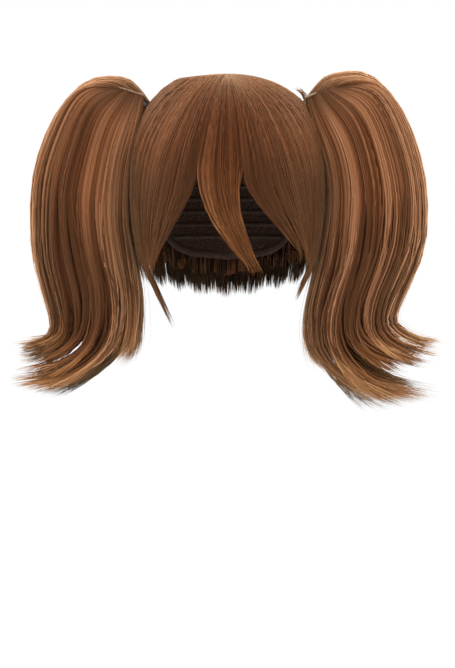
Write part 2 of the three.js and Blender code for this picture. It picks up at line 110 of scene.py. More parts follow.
headRings = {  # each place in the lists is one ring below the crown
    "drop": [0, 2.5, 7, 15, 28, 45, 70, 95, 125, 155, 185, 222],
    "halfWidth": [0, 24, 38, 51, 63, 71, 76.5, 77.5, 76, 71, 63, 55],
    "front": [0, 28, 46, 62, 76, 86, 92, 93, 91, 86, 78, 67],
    "back": [0, 29, 48, 66, 82, 93, 101, 103, 99, 90, 79, 70],
}
capEdge = {  # the cap's lower edge, the same on both sides
    "azimuth": [0, 30, 55, 68, 78, 88, 102, 118, 140, 180],
    "drop": [50, 53, 70, 108, 128, 116, 106, 124, 152, 162],
}
headFalls = np.sqrt(headRings["drop"])  # fall is the square root of the drop below the crown
headRadii = np.column_stack([headRings["halfWidth"], headRings["front"], headRings["back"]])


def onHead(azimuth, fall):
    width, front, back = np.moveaxis(smoothTable(headFalls, headRadii, fall), -1, 0)
    angle = np.radians(azimuth)
    depth = np.where(np.cos(angle) > 0, front, back)
    return np.stack([width * np.sin(angle), -depth * np.cos(angle), -fall * fall], -1)


def roundHead(azimuth, fall):  # a step of one degree round the head
    return onHead(azimuth + 0.5, fall) - onHead(azimuth - 0.5, fall)


def headNormal(azimuth, fall):
    along = onHead(azimuth, fall + 0.05) - onHead(azimuth, np.maximum(fall - 0.05, 0))
    return unit(np.cross(along, roundHead(azimuth, fall)))


def overHead(azimuth, fall, lift):
    return onHead(azimuth, fall) + headNormal(azimuth, fall) * np.asarray(lift)[..., None]


def ringScale(azimuth, fall):  # millimetres for one degree
    return np.linalg.norm(roundHead(azimuth, fall), axis=-1)


# materials

noiseSpread = (0.3, 0.7)  # most of a noise lies between these


def newMaterial(name):
    material = bpy.data.materials.new(name)
    material.use_nodes = True
    return material, material.node_tree


def plug(tree, value, socket):
    if isinstance(value, bpy.types.NodeSocket):
        tree.links.new(value, socket)
    else:
        socket.default_value = (*value, 1) if socket.type == "RGBA" else value


def setShader(tree, sockets):
    for name, value in sockets.items():
        plug(tree, value, tree.nodes["Principled BSDF"].inputs[name])


def addNode(tree, kind, sockets, **settings):
    node = tree.nodes.new(f"ShaderNode{kind}")
    for name, value in settings.items():
        setattr(node, name, value)
    for name, value in sockets.items():
        plug(tree, value, node.inputs[name])
    return node


def addMix(tree, kind, factor, first, second):
    sockets = {0: factor, 6: first, 7: second}
    return addNode(tree, "Mix", sockets, data_type="RGBA", blend_type=kind).outputs[2]


def addRange(tree, value, *limits):  # limits: the range of the value, then the one it is turned into
    sockets = dict(enumerate((value, *limits)))
    return addNode(tree, "MapRange", sockets, interpolation_type="SMOOTHSTEP").outputs[0]


def addRamp(tree, value, stops):
    node = addNode(tree, "ValToRGB", {0: value})
    elements = node.color_ramp.elements
    while len(elements) < len(stops):
        elements.new(0.5)
    for element, (place, colour) in zip(elements, stops):
        element.position = place
        element.color = (*colour, 1)
    return node.outputs[0]


def twoTones(tree, value, look, low=0, high=1):
    return addRamp(tree, value, [(low, look["dark"]), (high, look["light"])])


def addNoise(tree, vector, scale, detail=2.0):
    sockets = {"Vector": vector, "Scale": scale, "Detail": detail}
    return addNode(tree, "TexNoise", sockets).outputs[0]


def addCells(tree, vector, scale, feature="F1"):
    sockets = {"Vector": vector, "Scale": scale}
    return addNode(tree, "TexVoronoi", sockets, feature=feature).outputs["Distance"]


def addStretch(tree, vector, scale):
    return addNode(tree, "Mapping", {"Vector": vector, "Scale": scale}).outputs[0]


def addBump(tree, height, strength, distance):
    sockets = {"Height": height, "Strength": strength, "Distance": distance}
    return addNode(tree, "Bump", sockets).outputs[0]


def multiply(tree, first, *others):
    for other in others:
        first = addNode(tree, "Math", {0: first, 1: other}, operation="MULTIPLY").outputs[0]
    return first


def objectPlace(tree):
    return addNode(tree, "TexCoord", {}).outputs["Object"]


def readMap(tree, name):
    return addNode(tree, "UVMap", {}, uv_map=name).outputs[0]


def splitVector(tree, vector):
    return addNode(tree, "SeparateXYZ", {0: vector}).outputs


hairLook = {
    "shades": [  # from the darkest fibre to the lightest
        (0.0, (0.032, 0.0085, 0.003)),
        (0.3, (0.082, 0.025, 0.0087)),
        (0.5, (0.136, 0.047, 0.0185)),
        (0.75, (0.24, 0.103, 0.048)),
        (1.0, (0.39, 0.208, 0.112)),
    ],
    # painted glow: the tips ramp makes fibres lighter and golden near their ends, for light shining
    # through the thin tips
    "tips": [  # the same fibres near their ends
        (0.0, (0.07, 0.023, 0.008)),
        (0.35, (0.19, 0.074, 0.026)),
        (0.6, (0.38, 0.178, 0.07)),
        (1.0, (0.56, 0.33, 0.16)),
    ],
    "tipFrom": 0.78,
    "tipShare": 0.85,
    "shadow": 0.0,  # darkening of all but the light fibres on a part of their length
    "shadowColour": (0.035, 0.013, 0.0055),
    "shadowAt": (0.42, 0.62, 0.74, 0.9),
    "shadowShades": (0.62, 0.86),
    "rootColour": (0.035, 0.013, 0.0055),
    "rootTo": 0.1,
    "rootShare": 0.6,
    "fibres": 190,  # fine streaks across all shades
    "streak": 0.58,
    "roughness": (0.42, 0.58),
    "specular": 0.03,
    "specularTint": (1, 0.72, 0.45),
    "sheen": 0.43,
    "sheenTint": (1, 0.62, 0.34),
}


def hairMaterial(name, look):  # u is the shade of the fibre, v runs from its root to its tip
    material, tree = newMaterial(name)
    place = readMap(tree, "OFBake")
    shade, along = splitVector(tree, place)[:2]
    # painted glow of light through the thin tips: fibres turn lighter towards their ends
    near = addRange(tree, along, look["tipFrom"], 1, 0, look["tipShare"])
    ends = addRamp(tree, shade, look["tips"])
    colour = addMix(tree, "MIX", near, addRamp(tree, shade, look["shades"]), ends)
    streak = addNoise(tree, addStretch(tree, place, (look["fibres"], 3, 1)), 1.0)
    fine = addRange(tree, streak, *noiseSpread, 0, 1)
    fine = addRamp(tree, fine, [(0, (look["streak"],) * 3), (1, (1, 1, 1))])
    colour = addMix(tree, "MULTIPLY", 1, colour, fine)
    if look["shadow"]:
        low, full, fade, high = look["shadowAt"]
        into = addRange(tree, along, low, full, 0, look["shadow"])
        out = addRange(tree, along, fade, high, 1, 0)
        deep = addRange(tree, shade, *look["shadowShades"], 1, 0)
        colour = addMix(tree, "MIX", multiply(tree, into, out, deep), colour, look["shadowColour"])
    root = addRange(tree, along, 0, look["rootTo"], look["rootShare"], 0)
    setShader(tree, {
        "Base Color": addMix(tree, "MIX", root, colour, look["rootColour"]),
        "Roughness": addRange(tree, streak, *noiseSpread, *look["roughness"]),
        "Specular IOR Level": look["specular"],
        "Specular Tint": look["specularTint"],
        "Sheen Weight": look["sheen"],
        "Sheen Tint": look["sheenTint"],
    })
    return material


# the hair mass under the loose strands is coloured darker than them: painted shade in the gaps between
# strands
underLook = {
    "dark": (0.022, 0.0075, 0.0032),
    "light": (0.085, 0.029, 0.0108),
    "fibres": (1.1, 0.02, 1),
    "roughness": (0.6, 0.8),
    "specular": 0.06,
    "bump": 0.0006,
}


def underMaterial(name, look):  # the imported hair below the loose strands; its map is in millimetres
    material, tree = newMaterial(name)
    streak = addNoise(tree, addStretch(tree, readMap(tree, "flow"), look["fibres"]), 1.0, 4.0)
    setShader(tree, {
        "Base Color": twoTones(tree, addRange(tree, streak, 0.3, 0.72, 0, 1), look),
        "Roughness": addRange(tree, streak, *noiseSpread, *look["roughness"]),
        "Specular IOR Level": look["specular"],
        "Normal": addBump(tree, streak, 0.8, look["bump"]),
    })
    return material


# pale roots round the patch, partly a painted highlight where light catches the crown
bobPaleRootsAndHighlight = {"rootColour": (0.36, 0.27, 0.2), "rootTo": 0.15, "rootShare": 0.6}  # pale round the patch
bobShadow = {"shadow": 0.75, "shadowAt": (0.55, 0.78, 0.88, 1.04)}
bobLook = {**hairLook, **bobPaleRootsAndHighlight, **bobShadow, "tipFrom": 0.83, "tipShare": 0.5, "sheen": 0.28}
fringeLook = {**bobLook, "shadow": 0.0, "tipFrom": 0.58, "tipShare": 0.75, "rootShare": 0.75}
tailLook = {**hairLook, "shadow": 0.75, "rootTo": 0.24, "rootShare": 0.95}
hairBob = hairMaterial("hairBob", bobLook)
hairFringe = hairMaterial("hairFringe", fringeLook)
hairTail = hairMaterial("hairTail", tailLook)
hairUnder = underMaterial("hairUnder", underLook)
print("hair materials made")


# strands: thin closed fibre bundles with three sides, round at the root and pointed at the tip

strandShape = {
    "under": 0.2,
    "crest": 0.36,
    "roundness": 0.8,
    "widths": (0.7, 1.3),  # from the thinnest bundle to the widest
    "shadeSteps": 40,
    "shadeAcross": (0.12, 0.5, 0.88),  # places of the three sides in one step
    "shades": (0.02, 0.98),
    "ends": (0.01, 0.99),
}


def strandMesh(name, strands):
    joined = {key: np.concatenate([group[key] for group in strands]) for key in strands[0]}
    paths, along, halfWidth = joined["path"], joined["along"], joined["halfWidth"][..., None]
    count, rings = paths.shape[:2]
    flow = unit(np.gradient(paths, axis=1))
    side = unit(np.cross(flow, joined["outward"]))
    up = np.cross(side, flow)
    low = paths - up * halfWidth * strandShape["under"]
    crest = paths + up * halfWidth * strandShape["crest"]
    three = np.stack([low + side * halfWidth, crest, low - side * halfWidth], 2)
    points = np.concatenate([three[:, :-1].reshape(count, -1, 3), paths[:, -1:]], 1)
    steps = strandShape["shadeSteps"]
    column = np.floor(np.clip(joined["shade"], 0, 0.999) * steps)[:, None, None]
    u = (column + np.array(strandShape["shadeAcross"])) / steps + np.zeros((count, rings - 1, 1))
    v = np.broadcast_to(along[:, :-1, None], u.shape)
    tipUv = np.stack([(column[:, 0] + 0.5) / steps, along[:, -1:]], -1)
    uvs = np.concatenate([np.stack([u, v], -1).reshape(count, -1, 2), tipUv], 1)
    first = (np.arange(count) * (3 * (rings - 1) + 1))[:, None, None]
    ring, last = 3 * np.arange(rings - 2), 3 * (rings - 2)
    quads, ends = [], []
    for k, n in ((0, 1), (1, 2), (2, 0)):
        quads.append(np.stack([ring + k, ring + 3 + k, ring + 3 + n, ring + n], -1))
        ends.append([last + k, last + 3, last + n])
    quads = (first + np.concatenate(quads)).reshape(-1, 4)
    ends = (first + np.array([*ends, [0, 1, 2]])).reshape(-1, 3)
    mesh = meshOf(name, points.reshape(-1, 3), [quads, ends], uvs.reshape(-1, 2))
    lean = side * strandShape["roundness"]
    normals = np.stack([unit(up + lean), up, unit(up - lean)], 2)[:, :-1].reshape(count, -1, 3)
    normals = np.concatenate([normals, up[:, -1:]], 1)  # fibres shade as one soft surface
    mesh.normals_split_custom_set_from_vertices(normals.reshape(-1, 3).tolist())
    return mesh


def sheetMesh(name, outer, inner, across, along):  # a closed sheet between two grids of columns and rows
    top = np.arange(across.size).reshape(across.shape)
    under = top + across.size
    a, b, c, d = top[:-1, :-1], top[:-1, 1:], top[1:, 1:], top[1:, :-1]
    sides = [
        (a, b, c, d),
        [corner + across.size for corner in (a, d, c, b)],
        (top[:-1, 0], top[1:, 0], under[1:, 0], under[:-1, 0]),
        (top[:-1, -1], under[:-1, -1], under[1:, -1], top[1:, -1]),
        (top[0, :-1], under[0, :-1], under[0, 1:], top[0, 1:]),
        (top[-1, :-1], top[-1, 1:], under[-1, 1:], under[-1, :-1]),
    ]
    faces = [np.stack(corners, -1).reshape(-1, 4) for corners in sides]
    points = np.concatenate([outer.reshape(-1, 3), inner.reshape(-1, 3)])
    flow = np.stack([across, along], -1).reshape(-1, 2)
    return meshOf(name, points, faces, np.concatenate([flow, flow]), "flow")


# joined meshes from tubes and shells

def ringGrid(rows, columns):  # the corners of a grid that closes round, and those beside them
    place = np.arange(rows * columns).reshape(rows, columns)
    return place, np.roll(place, -1, axis=1)


def gridQuads(place, aside):
    return np.stack([place[:-1], place[1:], aside[1:], aside[:-1]], -1).reshape(-1, 4)


def endFan(centre, first, second):  # triangles between a point and a ring
    return np.stack([np.full(len(first), centre), first, second], -1)


def tubePart(path, outward, halfWide, halfThick, sides=6):  # a closed flattened tube along a path
    flow = unit(np.gradient(path, axis=0))
    beside = unit(np.cross(flow, outward))
    up = np.cross(beside, flow)
    turn = (np.arange(sides) / sides * 2 * np.pi)[:, None]
    ring = beside[:, None] * (np.cos(turn) * halfWide) + up[:, None] * (np.sin(turn) * halfThick)
    points = np.concatenate([(path[:, None] + ring).reshape(-1, 3), path[:1], path[-1:]])
    place, aside = ringGrid(len(path), sides)
    ends = [endFan(place.size, place[0], aside[0]), endFan(place.size + 1, aside[-1], place[-1])]
    return points, gridQuads(place, aside), np.concatenate(ends)


def shellPart(outer, inner):  # a bowl between two grids of rows and columns; the first row is the crown
    place, aside = ringGrid(*outer.shape[:2])
    shift = place.size
    quads = gridQuads(place, aside)
    hem = np.stack([place[-1], place[-1] + shift, aside[-1] + shift, aside[-1]], -1)
    crown = endFan(2 * shift, place[0], aside[0])
    under = endFan(2 * shift + 1, aside[0] + shift, place[0] + shift)
    tops = [outer[0].mean(0)], [inner[0].mean(0)]
    points = np.concatenate([outer.reshape(-1, 3), inner.reshape(-1, 3), *tops])
    return points, np.concatenate([quads, quads[:, ::-1] + shift, hem]), np.concatenate([crown, under])


def joinParts(name, parts):
    points, quads, tris, start = [], [], [], 0
    for partPoints, partQuads, partTris in parts:
        points.append(partPoints)
        quads.append(partQuads + start)
        tris.append(partTris + start)
        start += len(partPoints)
    return meshOf(name, np.concatenate(points), [np.concatenate(quads), np.concatenate(tris)])


# the stretch cap

cap = {
    "wall": 1.6,
    "rows": 34,
    "columns": 120,
    "hem": {"points": 241, "sides": 8, "halfWide": 4.2, "halfThick": 1.5, "above": 4.0},
    "wefts": {"drops": (26, 152, 11.5), "halfWide": 2.1, "halfThick": 0.75, "clear": 9, "shortest": 8},
    "net": {"dark": (0.012, 0.006, 0.0042), "light": (0.045, 0.022, 0.014), "cells": 520, "bump": 0.0005},
    "elastic": {"dark": (0.014, 0.007, 0.005), "light": (0.05, 0.027, 0.018), "ribs": 900, "bump": 0.0004},
}


def edgeFall(azimuth):
    around = np.abs((azimuth + 180) % 360 - 180)
    drop = smoothTable(capEdge["azimuth"], np.array(capEdge["drop"])[:, None], around)[..., 0]
    return np.sqrt(drop)


def netMaterial(name, look):  # knitted net, with its holes and threads
    material, tree = newMaterial(name)
    edge = addCells(tree, objectPlace(tree), look["cells"], "DISTANCE_TO_EDGE")
    thread = addRange(tree, edge, 0.04, 0.22, 1, 0)
    setShader(tree, {
        "Base Color": twoTones(tree, thread, look),
        "Roughness": addRange(tree, thread, 0, 1, 0.95, 0.7),
        "Specular IOR Level": 0.2,
        "Normal": addBump(tree, thread, 0.7, look["bump"]),
    })
    return material


def ribMaterial(name, look):  # woven elastic and weft tape, with fine ribs
    material, tree = newMaterial(name)
    place = objectPlace(tree)
    grain = addNoise(tree, place, look["ribs"], 3.0)
    worn = addNoise(tree, place, look["ribs"] / 12)
    colour = twoTones(tree, addRange(tree, grain, 0.32, 0.68, 0, 1), look)
    shadow = addRamp(tree, worn, [(0.3, (0.7, 0.7, 0.7)), (0.7, (1, 1, 1))])
    setShader(tree, {
        "Base Color": addMix(tree, "MULTIPLY", 1, colour, shadow),
        "Roughness": addRange(tree, grain, *noiseSpread, 0.9, 0.65),
        "Specular IOR Level": 0.25,
        "Normal": addBump(tree, grain, 0.7, look["bump"]),
    })
    return material


def makeCap():
    around = np.linspace(0, 360, cap["columns"], endpoint=False)
    fall = np.linspace(0.03, 1, cap["rows"])[:, None] * edgeFall(around)
    around = around + 0 * fall
    shell = shellPart(overHead(around, fall, cap["wall"]), overHead(around, fall, 0))
    hem, wefts = cap["hem"], cap["wefts"]
    around = np.linspace(0, 360, hem["points"])
    fall = np.sqrt(edgeFall(around) ** 2 - hem["above"])
    path = overHead(around, fall, cap["wall"] / 2)
    bands = [tubePart(path, headNormal(around, fall), hem["halfWide"], hem["halfThick"], hem["sides"])]
    degrees = np.linspace(0, 360, 361)
    for drop in np.arange(*wefts["drops"]):  # rows of tape round the inside, where the cap reaches
        inside = degrees[edgeFall(degrees) ** 2 > drop + wefts["clear"]]
        for run in np.split(inside, np.where(np.diff(inside) > 1.5)[0] + 1):
            if len(run) < wefts["shortest"]:
                continue
            level = np.full(len(run), math.sqrt(drop))
            path = overHead(run, level, -0.1)
            bands.append(tubePart(path, headNormal(run, level), wefts["halfWide"], wefts["halfThick"]))
    addPiece(joinParts("wig_cap_net", [shell]), netMaterial("capNet", cap["net"]), "wig_cap")
    addPiece(joinParts("wig_cap_tapes", bands), ribMaterial("capElastic", cap["elastic"]))
    print("cap made, bands:", len(bands))


makeCap()


# the pale patch at the whorl

patch = {
    "drop": 0.8,
    "lift": 2.0,
    "thickness": 1.3,
    "rows": 10,
    "columns": 64,
    "skin": (0.36, 0.235, 0.17),
    "shadow": (0.25, 0.15, 0.1),
    "knots": 1300,
    "knotColour": (0.45, 0.32, 0.25),
}


def patchMaterial(name, look):  # skin tone with the small knots from which the roots come
    material, tree = newMaterial(name)
    place = objectPlace(tree)
    spot = addRange(tree, addCells(tree, place, look["knots"]), 0.12, 0.35, 0, 1)
    cloud = addRange(tree, addNoise(tree, place, 160, 3.0), 0.35, 0.65, 0, 1)
    colour = addRamp(tree, cloud, [(0, look["shadow"]), (1, look["skin"])])
    dots = addRamp(tree, spot, [(0, look["knotColour"]), (1, (1, 1, 1))])
    setShader(tree, {
        "Base Color": addMix(tree, "MULTIPLY", 0.8, colour, dots),
        "Roughness": addRange(tree, cloud, 0, 1, 0.75, 0.55),
        "Normal": addBump(tree, spot, 0.5, 0.0002),
    })
    return material


def makePatch():
    azimuth = np.linspace(0, 360, patch["columns"], endpoint=False)[None]
    down = np.linspace(0.06, 1, patch["rows"])[:, None]
    fall = down * math.sqrt(patch["drop"]) + 0 * azimuth
    swell = patch["thickness"] * (1 - 0.75 * down ** 4) + 0 * azimuth
    around = azimuth + 0 * fall
    outer = overHead(around, fall, patch["lift"] + swell)
    inner = overHead(around, fall, patch["lift"])
    mesh = joinParts("skin_patch", [shellPart(outer, inner)])
    addPiece(mesh, patchMaterial("skinTone", patch), "skin_top")


makePatch()


# the bob

# each lock: azimuths at the parting height and at the tip, drop of the tip, width, lateness of the turn
bobSections = {
    "fringe_centre": [(-11.2, 14, 162, 19, 2.6), (-4.6, 18.5, 167, 20, 2.7), (1.5, 22.5, 168, 16, 2.7)],
    "fringe_right": [
        (17.5, 52, 151, 32, 2.1),
        (32, 61, 158, 30, 1.6),
        (48, 67, 169, 30, 1.5),
        (66, 71, 172, 31, 1.5),
    ],
    "side_right": [(83, 58, 191, 34, 2.2), (98, 90, 175, 31, 1.5), (113, 106, 176, 33, 1.5)],
    "back_hair": [
        (128, 124, 179, 36, 1.5),
        (145, 142, 184, 36, 1.5),
        (162, 161, 189, 36, 1.5),
        (180, 181, 192, 36, 1.5),
        (198, 200, 190, 36, 1.5),
        (215, 218, 185, 36, 1.5),
        (231, 236, 180, 36, 1.5),
    ],
    "side_left": [(246, 255, 176, 33, 1.5), (261, 269, 175, 31, 1.5), (276, 313, 211, 30, 2.1)],
    "fringe_left": [
        (291, 293, 172, 31, 1.5),
        (306, 296, 172, 29, 1.5),
        (320, 301, 170, 29, 1.5),
        (335.5, 306, 161, 22, 1.9),
    ],
}
bob = {
    "backing": 2.8,  # lift of the hair's underside over the head
    "thickness": 6.6,
    "whorlThickness": 2.2,
    "tipThickness": 2.2,
    "tipWidth": 0.3,
    "taperFrom": 0.6,
    "tipLift": 5,
    "whorlDrop": 1.1,
    "partDrop": 80,
    "notch": {"fringe": 0.92, "side": 0.95, "back": 0.98},
    "edgeEnd": 0.93,
    "longer": 12,  # a lock that hangs so far past the next one is drawn together there
    # painted highlight: light shining through the free edges of the fringe is painted as lighter strands
    "paintedEdgeHighlight": 0.2,  # the free edges of the fringe are lighter
    "pieceGap": 0.4,
    "groove": 0.16,  # how much thinner the hair is between two locks
    "gather": {"fringe": 0.12, "side": 0.1, "back": 0.03},  # how far the locks draw apart at their tips
    "clumping": {"fringe": 0.5, "side": 0.35, "back": 0.04},
    "uneven": {"fringe": 0.02, "side": 0.018, "back": 0.006},  # how much the clumps differ in length
    "shorter": {"fringe": 0.12, "side": 0.11, "back": 0.1},
    "sway": {"fringe": 0.9, "side": 0.6, "back": 0.3},
    "lining": {"fringe": 0.0, "side": 0.06, "back": 0.18},  # share of the strands inside, below the cap
    "liningDrop": 88,
    "underEnd": {"fringe": 0.8, "side": 0.82, "back": 0.84},
    "tipWidthLeft": {"fringe": 0.3, "side": 0.45, "back": 0.8},
    "fan": {"mid": [0, 20, 45, 80, 110, 180], "root": [0, 6, 19, 44, 78, 180]},  # azimuths at the whorl
    "fanBend": 1.35,
    "softBend": [(-2, 0.1), (-1, 0.25), (0, 0.3), (1, 0.25), (2, 0.1)],  # no kink where the locks part
    "softReach": 2.2,
    "softFrom": (25, 50),  # degrees from the middle of the face
    "fullDrop": {  # drop at which a section has its full thickness
        "fringe_centre": 16,
        "fringe_right": 34,
        "side_right": 34,
        "back_hair": 22,
        "side_left": 9,
        "fringe_left": 9,
    },
    "clumpWidth": 3.6,
    "whorlShare": 0.5,  # share of the strands that start at the whorl, the others start below it
    "whorlStart": (0.35, 1.2),
    "laterStart": (1.4, 5.2),
    "layers": {"share": 0.62, "surface": (0.84, 1.0), "deep": (0.45, 0.85)},
    "liningDepth": (-0.06, 0.04),
    "waves": {"strand": 0.45, "clumpLift": 0.3, "strandLift": 0.2},
    "stray": {"lift": (0.5, 3.0), "turn": 2.2, "width": 0.45},
    "under": {"perLock": 8, "rows": 26, "inset": 0.985, "share": (0.08, 0.62), "mapWidth": 30},
    "rings": 13,
    "ringBend": 0.95,
    "ringLoose": 0.15,
    "strandsPerMm": 7.3,
    "halfWidth": 0.54,
    "flyaways": 0.02,
    # painted light and shade: locks at the face are darker, those at the sides lighter, as the sides catch
    # more light
    "shade": {"front": 0.165, "side": 0.38, "turn": (10, 75)},
    # the depth entry paints shade: strands lying deeper in the hair are darker
    "differ": {"lock": 0.03, "clump": 0.07, "strand": 0.15, "depth": 0.4},  # in shade
    "seed": 11,
}
lockNames = ("section", "mid", "tip", "tipDrop", "width", "sweep")
bobLocks = [
    dict(zip(lockNames, (section, *lock)))
    for section, locks in bobSections.items()
    for lock in locks
]
startFall = math.sqrt(bob["whorlDrop"])
partFall = math.sqrt(bob["partDrop"])


def lockAt(index):  # locks in their order round the head, past either end of the list too
    turns, place = divmod(index, len(bobLocks))
    lock = dict(bobLocks[place])
    front = lock["mid"] - 360 if lock["mid"] > 180 else lock["mid"]
    spread = math.copysign(np.interp(abs(front), bob["fan"]["mid"], bob["fan"]["root"]), front)
    lock["root"] = lock["mid"] - front + spread
    for name in ("root", "mid", "tip"):
        lock[name] += 360 * turns
    return lock


def kindOf(lock, name):
    return bob[name][lock["section"].split("_")[0]]


def frontAngle(lock):  # degrees from the middle of the face
    return abs((lock["mid"] + 180) % 360 - 180)


def bentAzimuth(lock, fall):
    upShare = np.clip((fall - startFall) / (partFall - startFall), 0, 1)
    upper = mix(lock["root"], lock["mid"], upShare ** bob["fanBend"])
    share = np.clip((fall - partFall) / (math.sqrt(lock["tipDrop"]) - partFall), 0, 1)
    return np.where(fall < partFall, upper, mix(lock["mid"], lock["tip"], share ** lock["sweep"]))


def lockAzimuth(lock, fall):
    around = sum(weight * bentAzimuth(lock, fall + step) for step, weight in bob["softBend"])
    nearPart = np.exp(-((fall - partFall) / bob["softReach"]) ** 2)
    soft = smoothStep(frontAngle(lock), *bob["softFrom"]) * nearPart
    return mix(bentAzimuth(lock, fall), around, soft)


def lockTaper(lock, fall):
    share = (fall - startFall) / (math.sqrt(lock["tipDrop"]) - startFall)
    return smoothStep(share, bob["taperFrom"], 1)


def lockHalfAngle(lock, fall):
    scale = ringScale(lockAzimuth(lock, fall), fall)
    fullScale = ringScale(np.array(lock["mid"]), np.array(partFall))
    half = lock["width"] / 2 * np.minimum(1, scale / fullScale)
    return half * mix(1, bob["tipWidth"], lockTaper(lock, fall)) / scale


def lockReach(index, side, fall):  # from a lock's middle to its edge, in degrees
    lock, beside = lockAt(index), lockAt(index + side)
    middle = lockAzimuth(lock, fall)
    meeting = np.abs(lockAzimuth(beside, fall) - middle) / 2
    own = np.minimum(meeting, lockHalfAngle(lock, fall))
    if lock["section"] == beside["section"]:
        gather = kindOf(lock, "gather") * lockTaper(lock, fall)
        if lock["tipDrop"] > beside["tipDrop"] + bob["longer"]:
            past = math.sqrt(beside["tipDrop"])
            gather = np.maximum(gather, smoothStep(fall, 0.94 * past, 1.01 * past))
        return mix(meeting, own, gather)
    apart = meeting - bob["pieceGap"] / 2 / ringScale(middle, fall)
    if "fringe" not in lock["section"] + beside["section"]:
        return apart
    return np.where(fall > partFall, np.minimum(apart, own), apart)


def hairAzimuth(index, across, fall):
    reach = np.where(across < 0, lockReach(index, -1, fall), lockReach(index, 1, fall))
    return lockAzimuth(lockAt(index), fall) + across * reach


def endDrop(index, across):  # a lock is longest at its middle
    lock = lockAt(index)
    edges = []
    for side in (-1, 1):
        beside = lockAt(index + side)
        joined = lock["section"] == beside["section"]
        lowest = min(lock["tipDrop"], beside["tipDrop"]) if joined else lock["tipDrop"]
        edges.append(mix(bob["partDrop"], lowest, kindOf(lock, "notch") if joined else bob["edgeEnd"]))
    edge = np.where(across < 0, edges[0], edges[1])
    return mix(lock["tipDrop"], edge, np.abs(across) ** 1.6)


def hairLift(index, across, fall, share):  # share is 0 at the hair's underside and 1 at its surface
    lock = lockAt(index)
    taper = lockTaper(lock, fall)
    full = smoothStep(fall * fall, bob["whorlDrop"], bob["fullDrop"][lock["section"]])
    thickness = mix(mix(bob["whorlThickness"], bob["thickness"], full), bob["tipThickness"], taper)
    relief = 1 - bob["groove"] * np.abs(across) ** 3
    return bob["backing"] + bob["tipLift"] * taper + share * relief * thickness


def wander(rng, groups, rings, size):  # one smooth random sway for each group, along its length
    along = np.linspace(0, 1, rings)
    phase = rng.random((groups, 3, 1)) * 2 * np.pi
    pace = rng.uniform([[0.5], [1.2], [2.4]], [[1.1], [2.2], [4.0]], (groups, 3, 1))
    waves = np.sin(phase + 2 * np.pi * pace * along)
    return size * (waves * np.array([0.6, 0.3, 0.15])[:, None]).sum(1)


def jitter(rng, count, rings, bend, loose):  # places of the rings from root to tip
    step = 1 / (rings - 1)
    along = np.linspace(0, 1, rings) + rng.uniform(-loose, loose, (count, 1)) * step
    along[:, 0], along[:, -1] = 0, 1
    along = along ** bend
    along[:, -2] = mix(along[:, -3], 1, 0.75)  # a short point
    return along


def widthAlong(along, tipFrom, tipWidth):
    return mix(0.65, 1, smoothStep(along, 0, 0.12)) * mix(1, tipWidth, smoothStep(along, tipFrom, 1))


def layered(rng, count, layers):  # depths of the strands, a share of them at the surface
    onTop = rng.random(count) < layers["share"]
    surface = rng.uniform(*layers["surface"], count)
    return np.where(onTop, surface, rng.uniform(*layers["deep"], count))


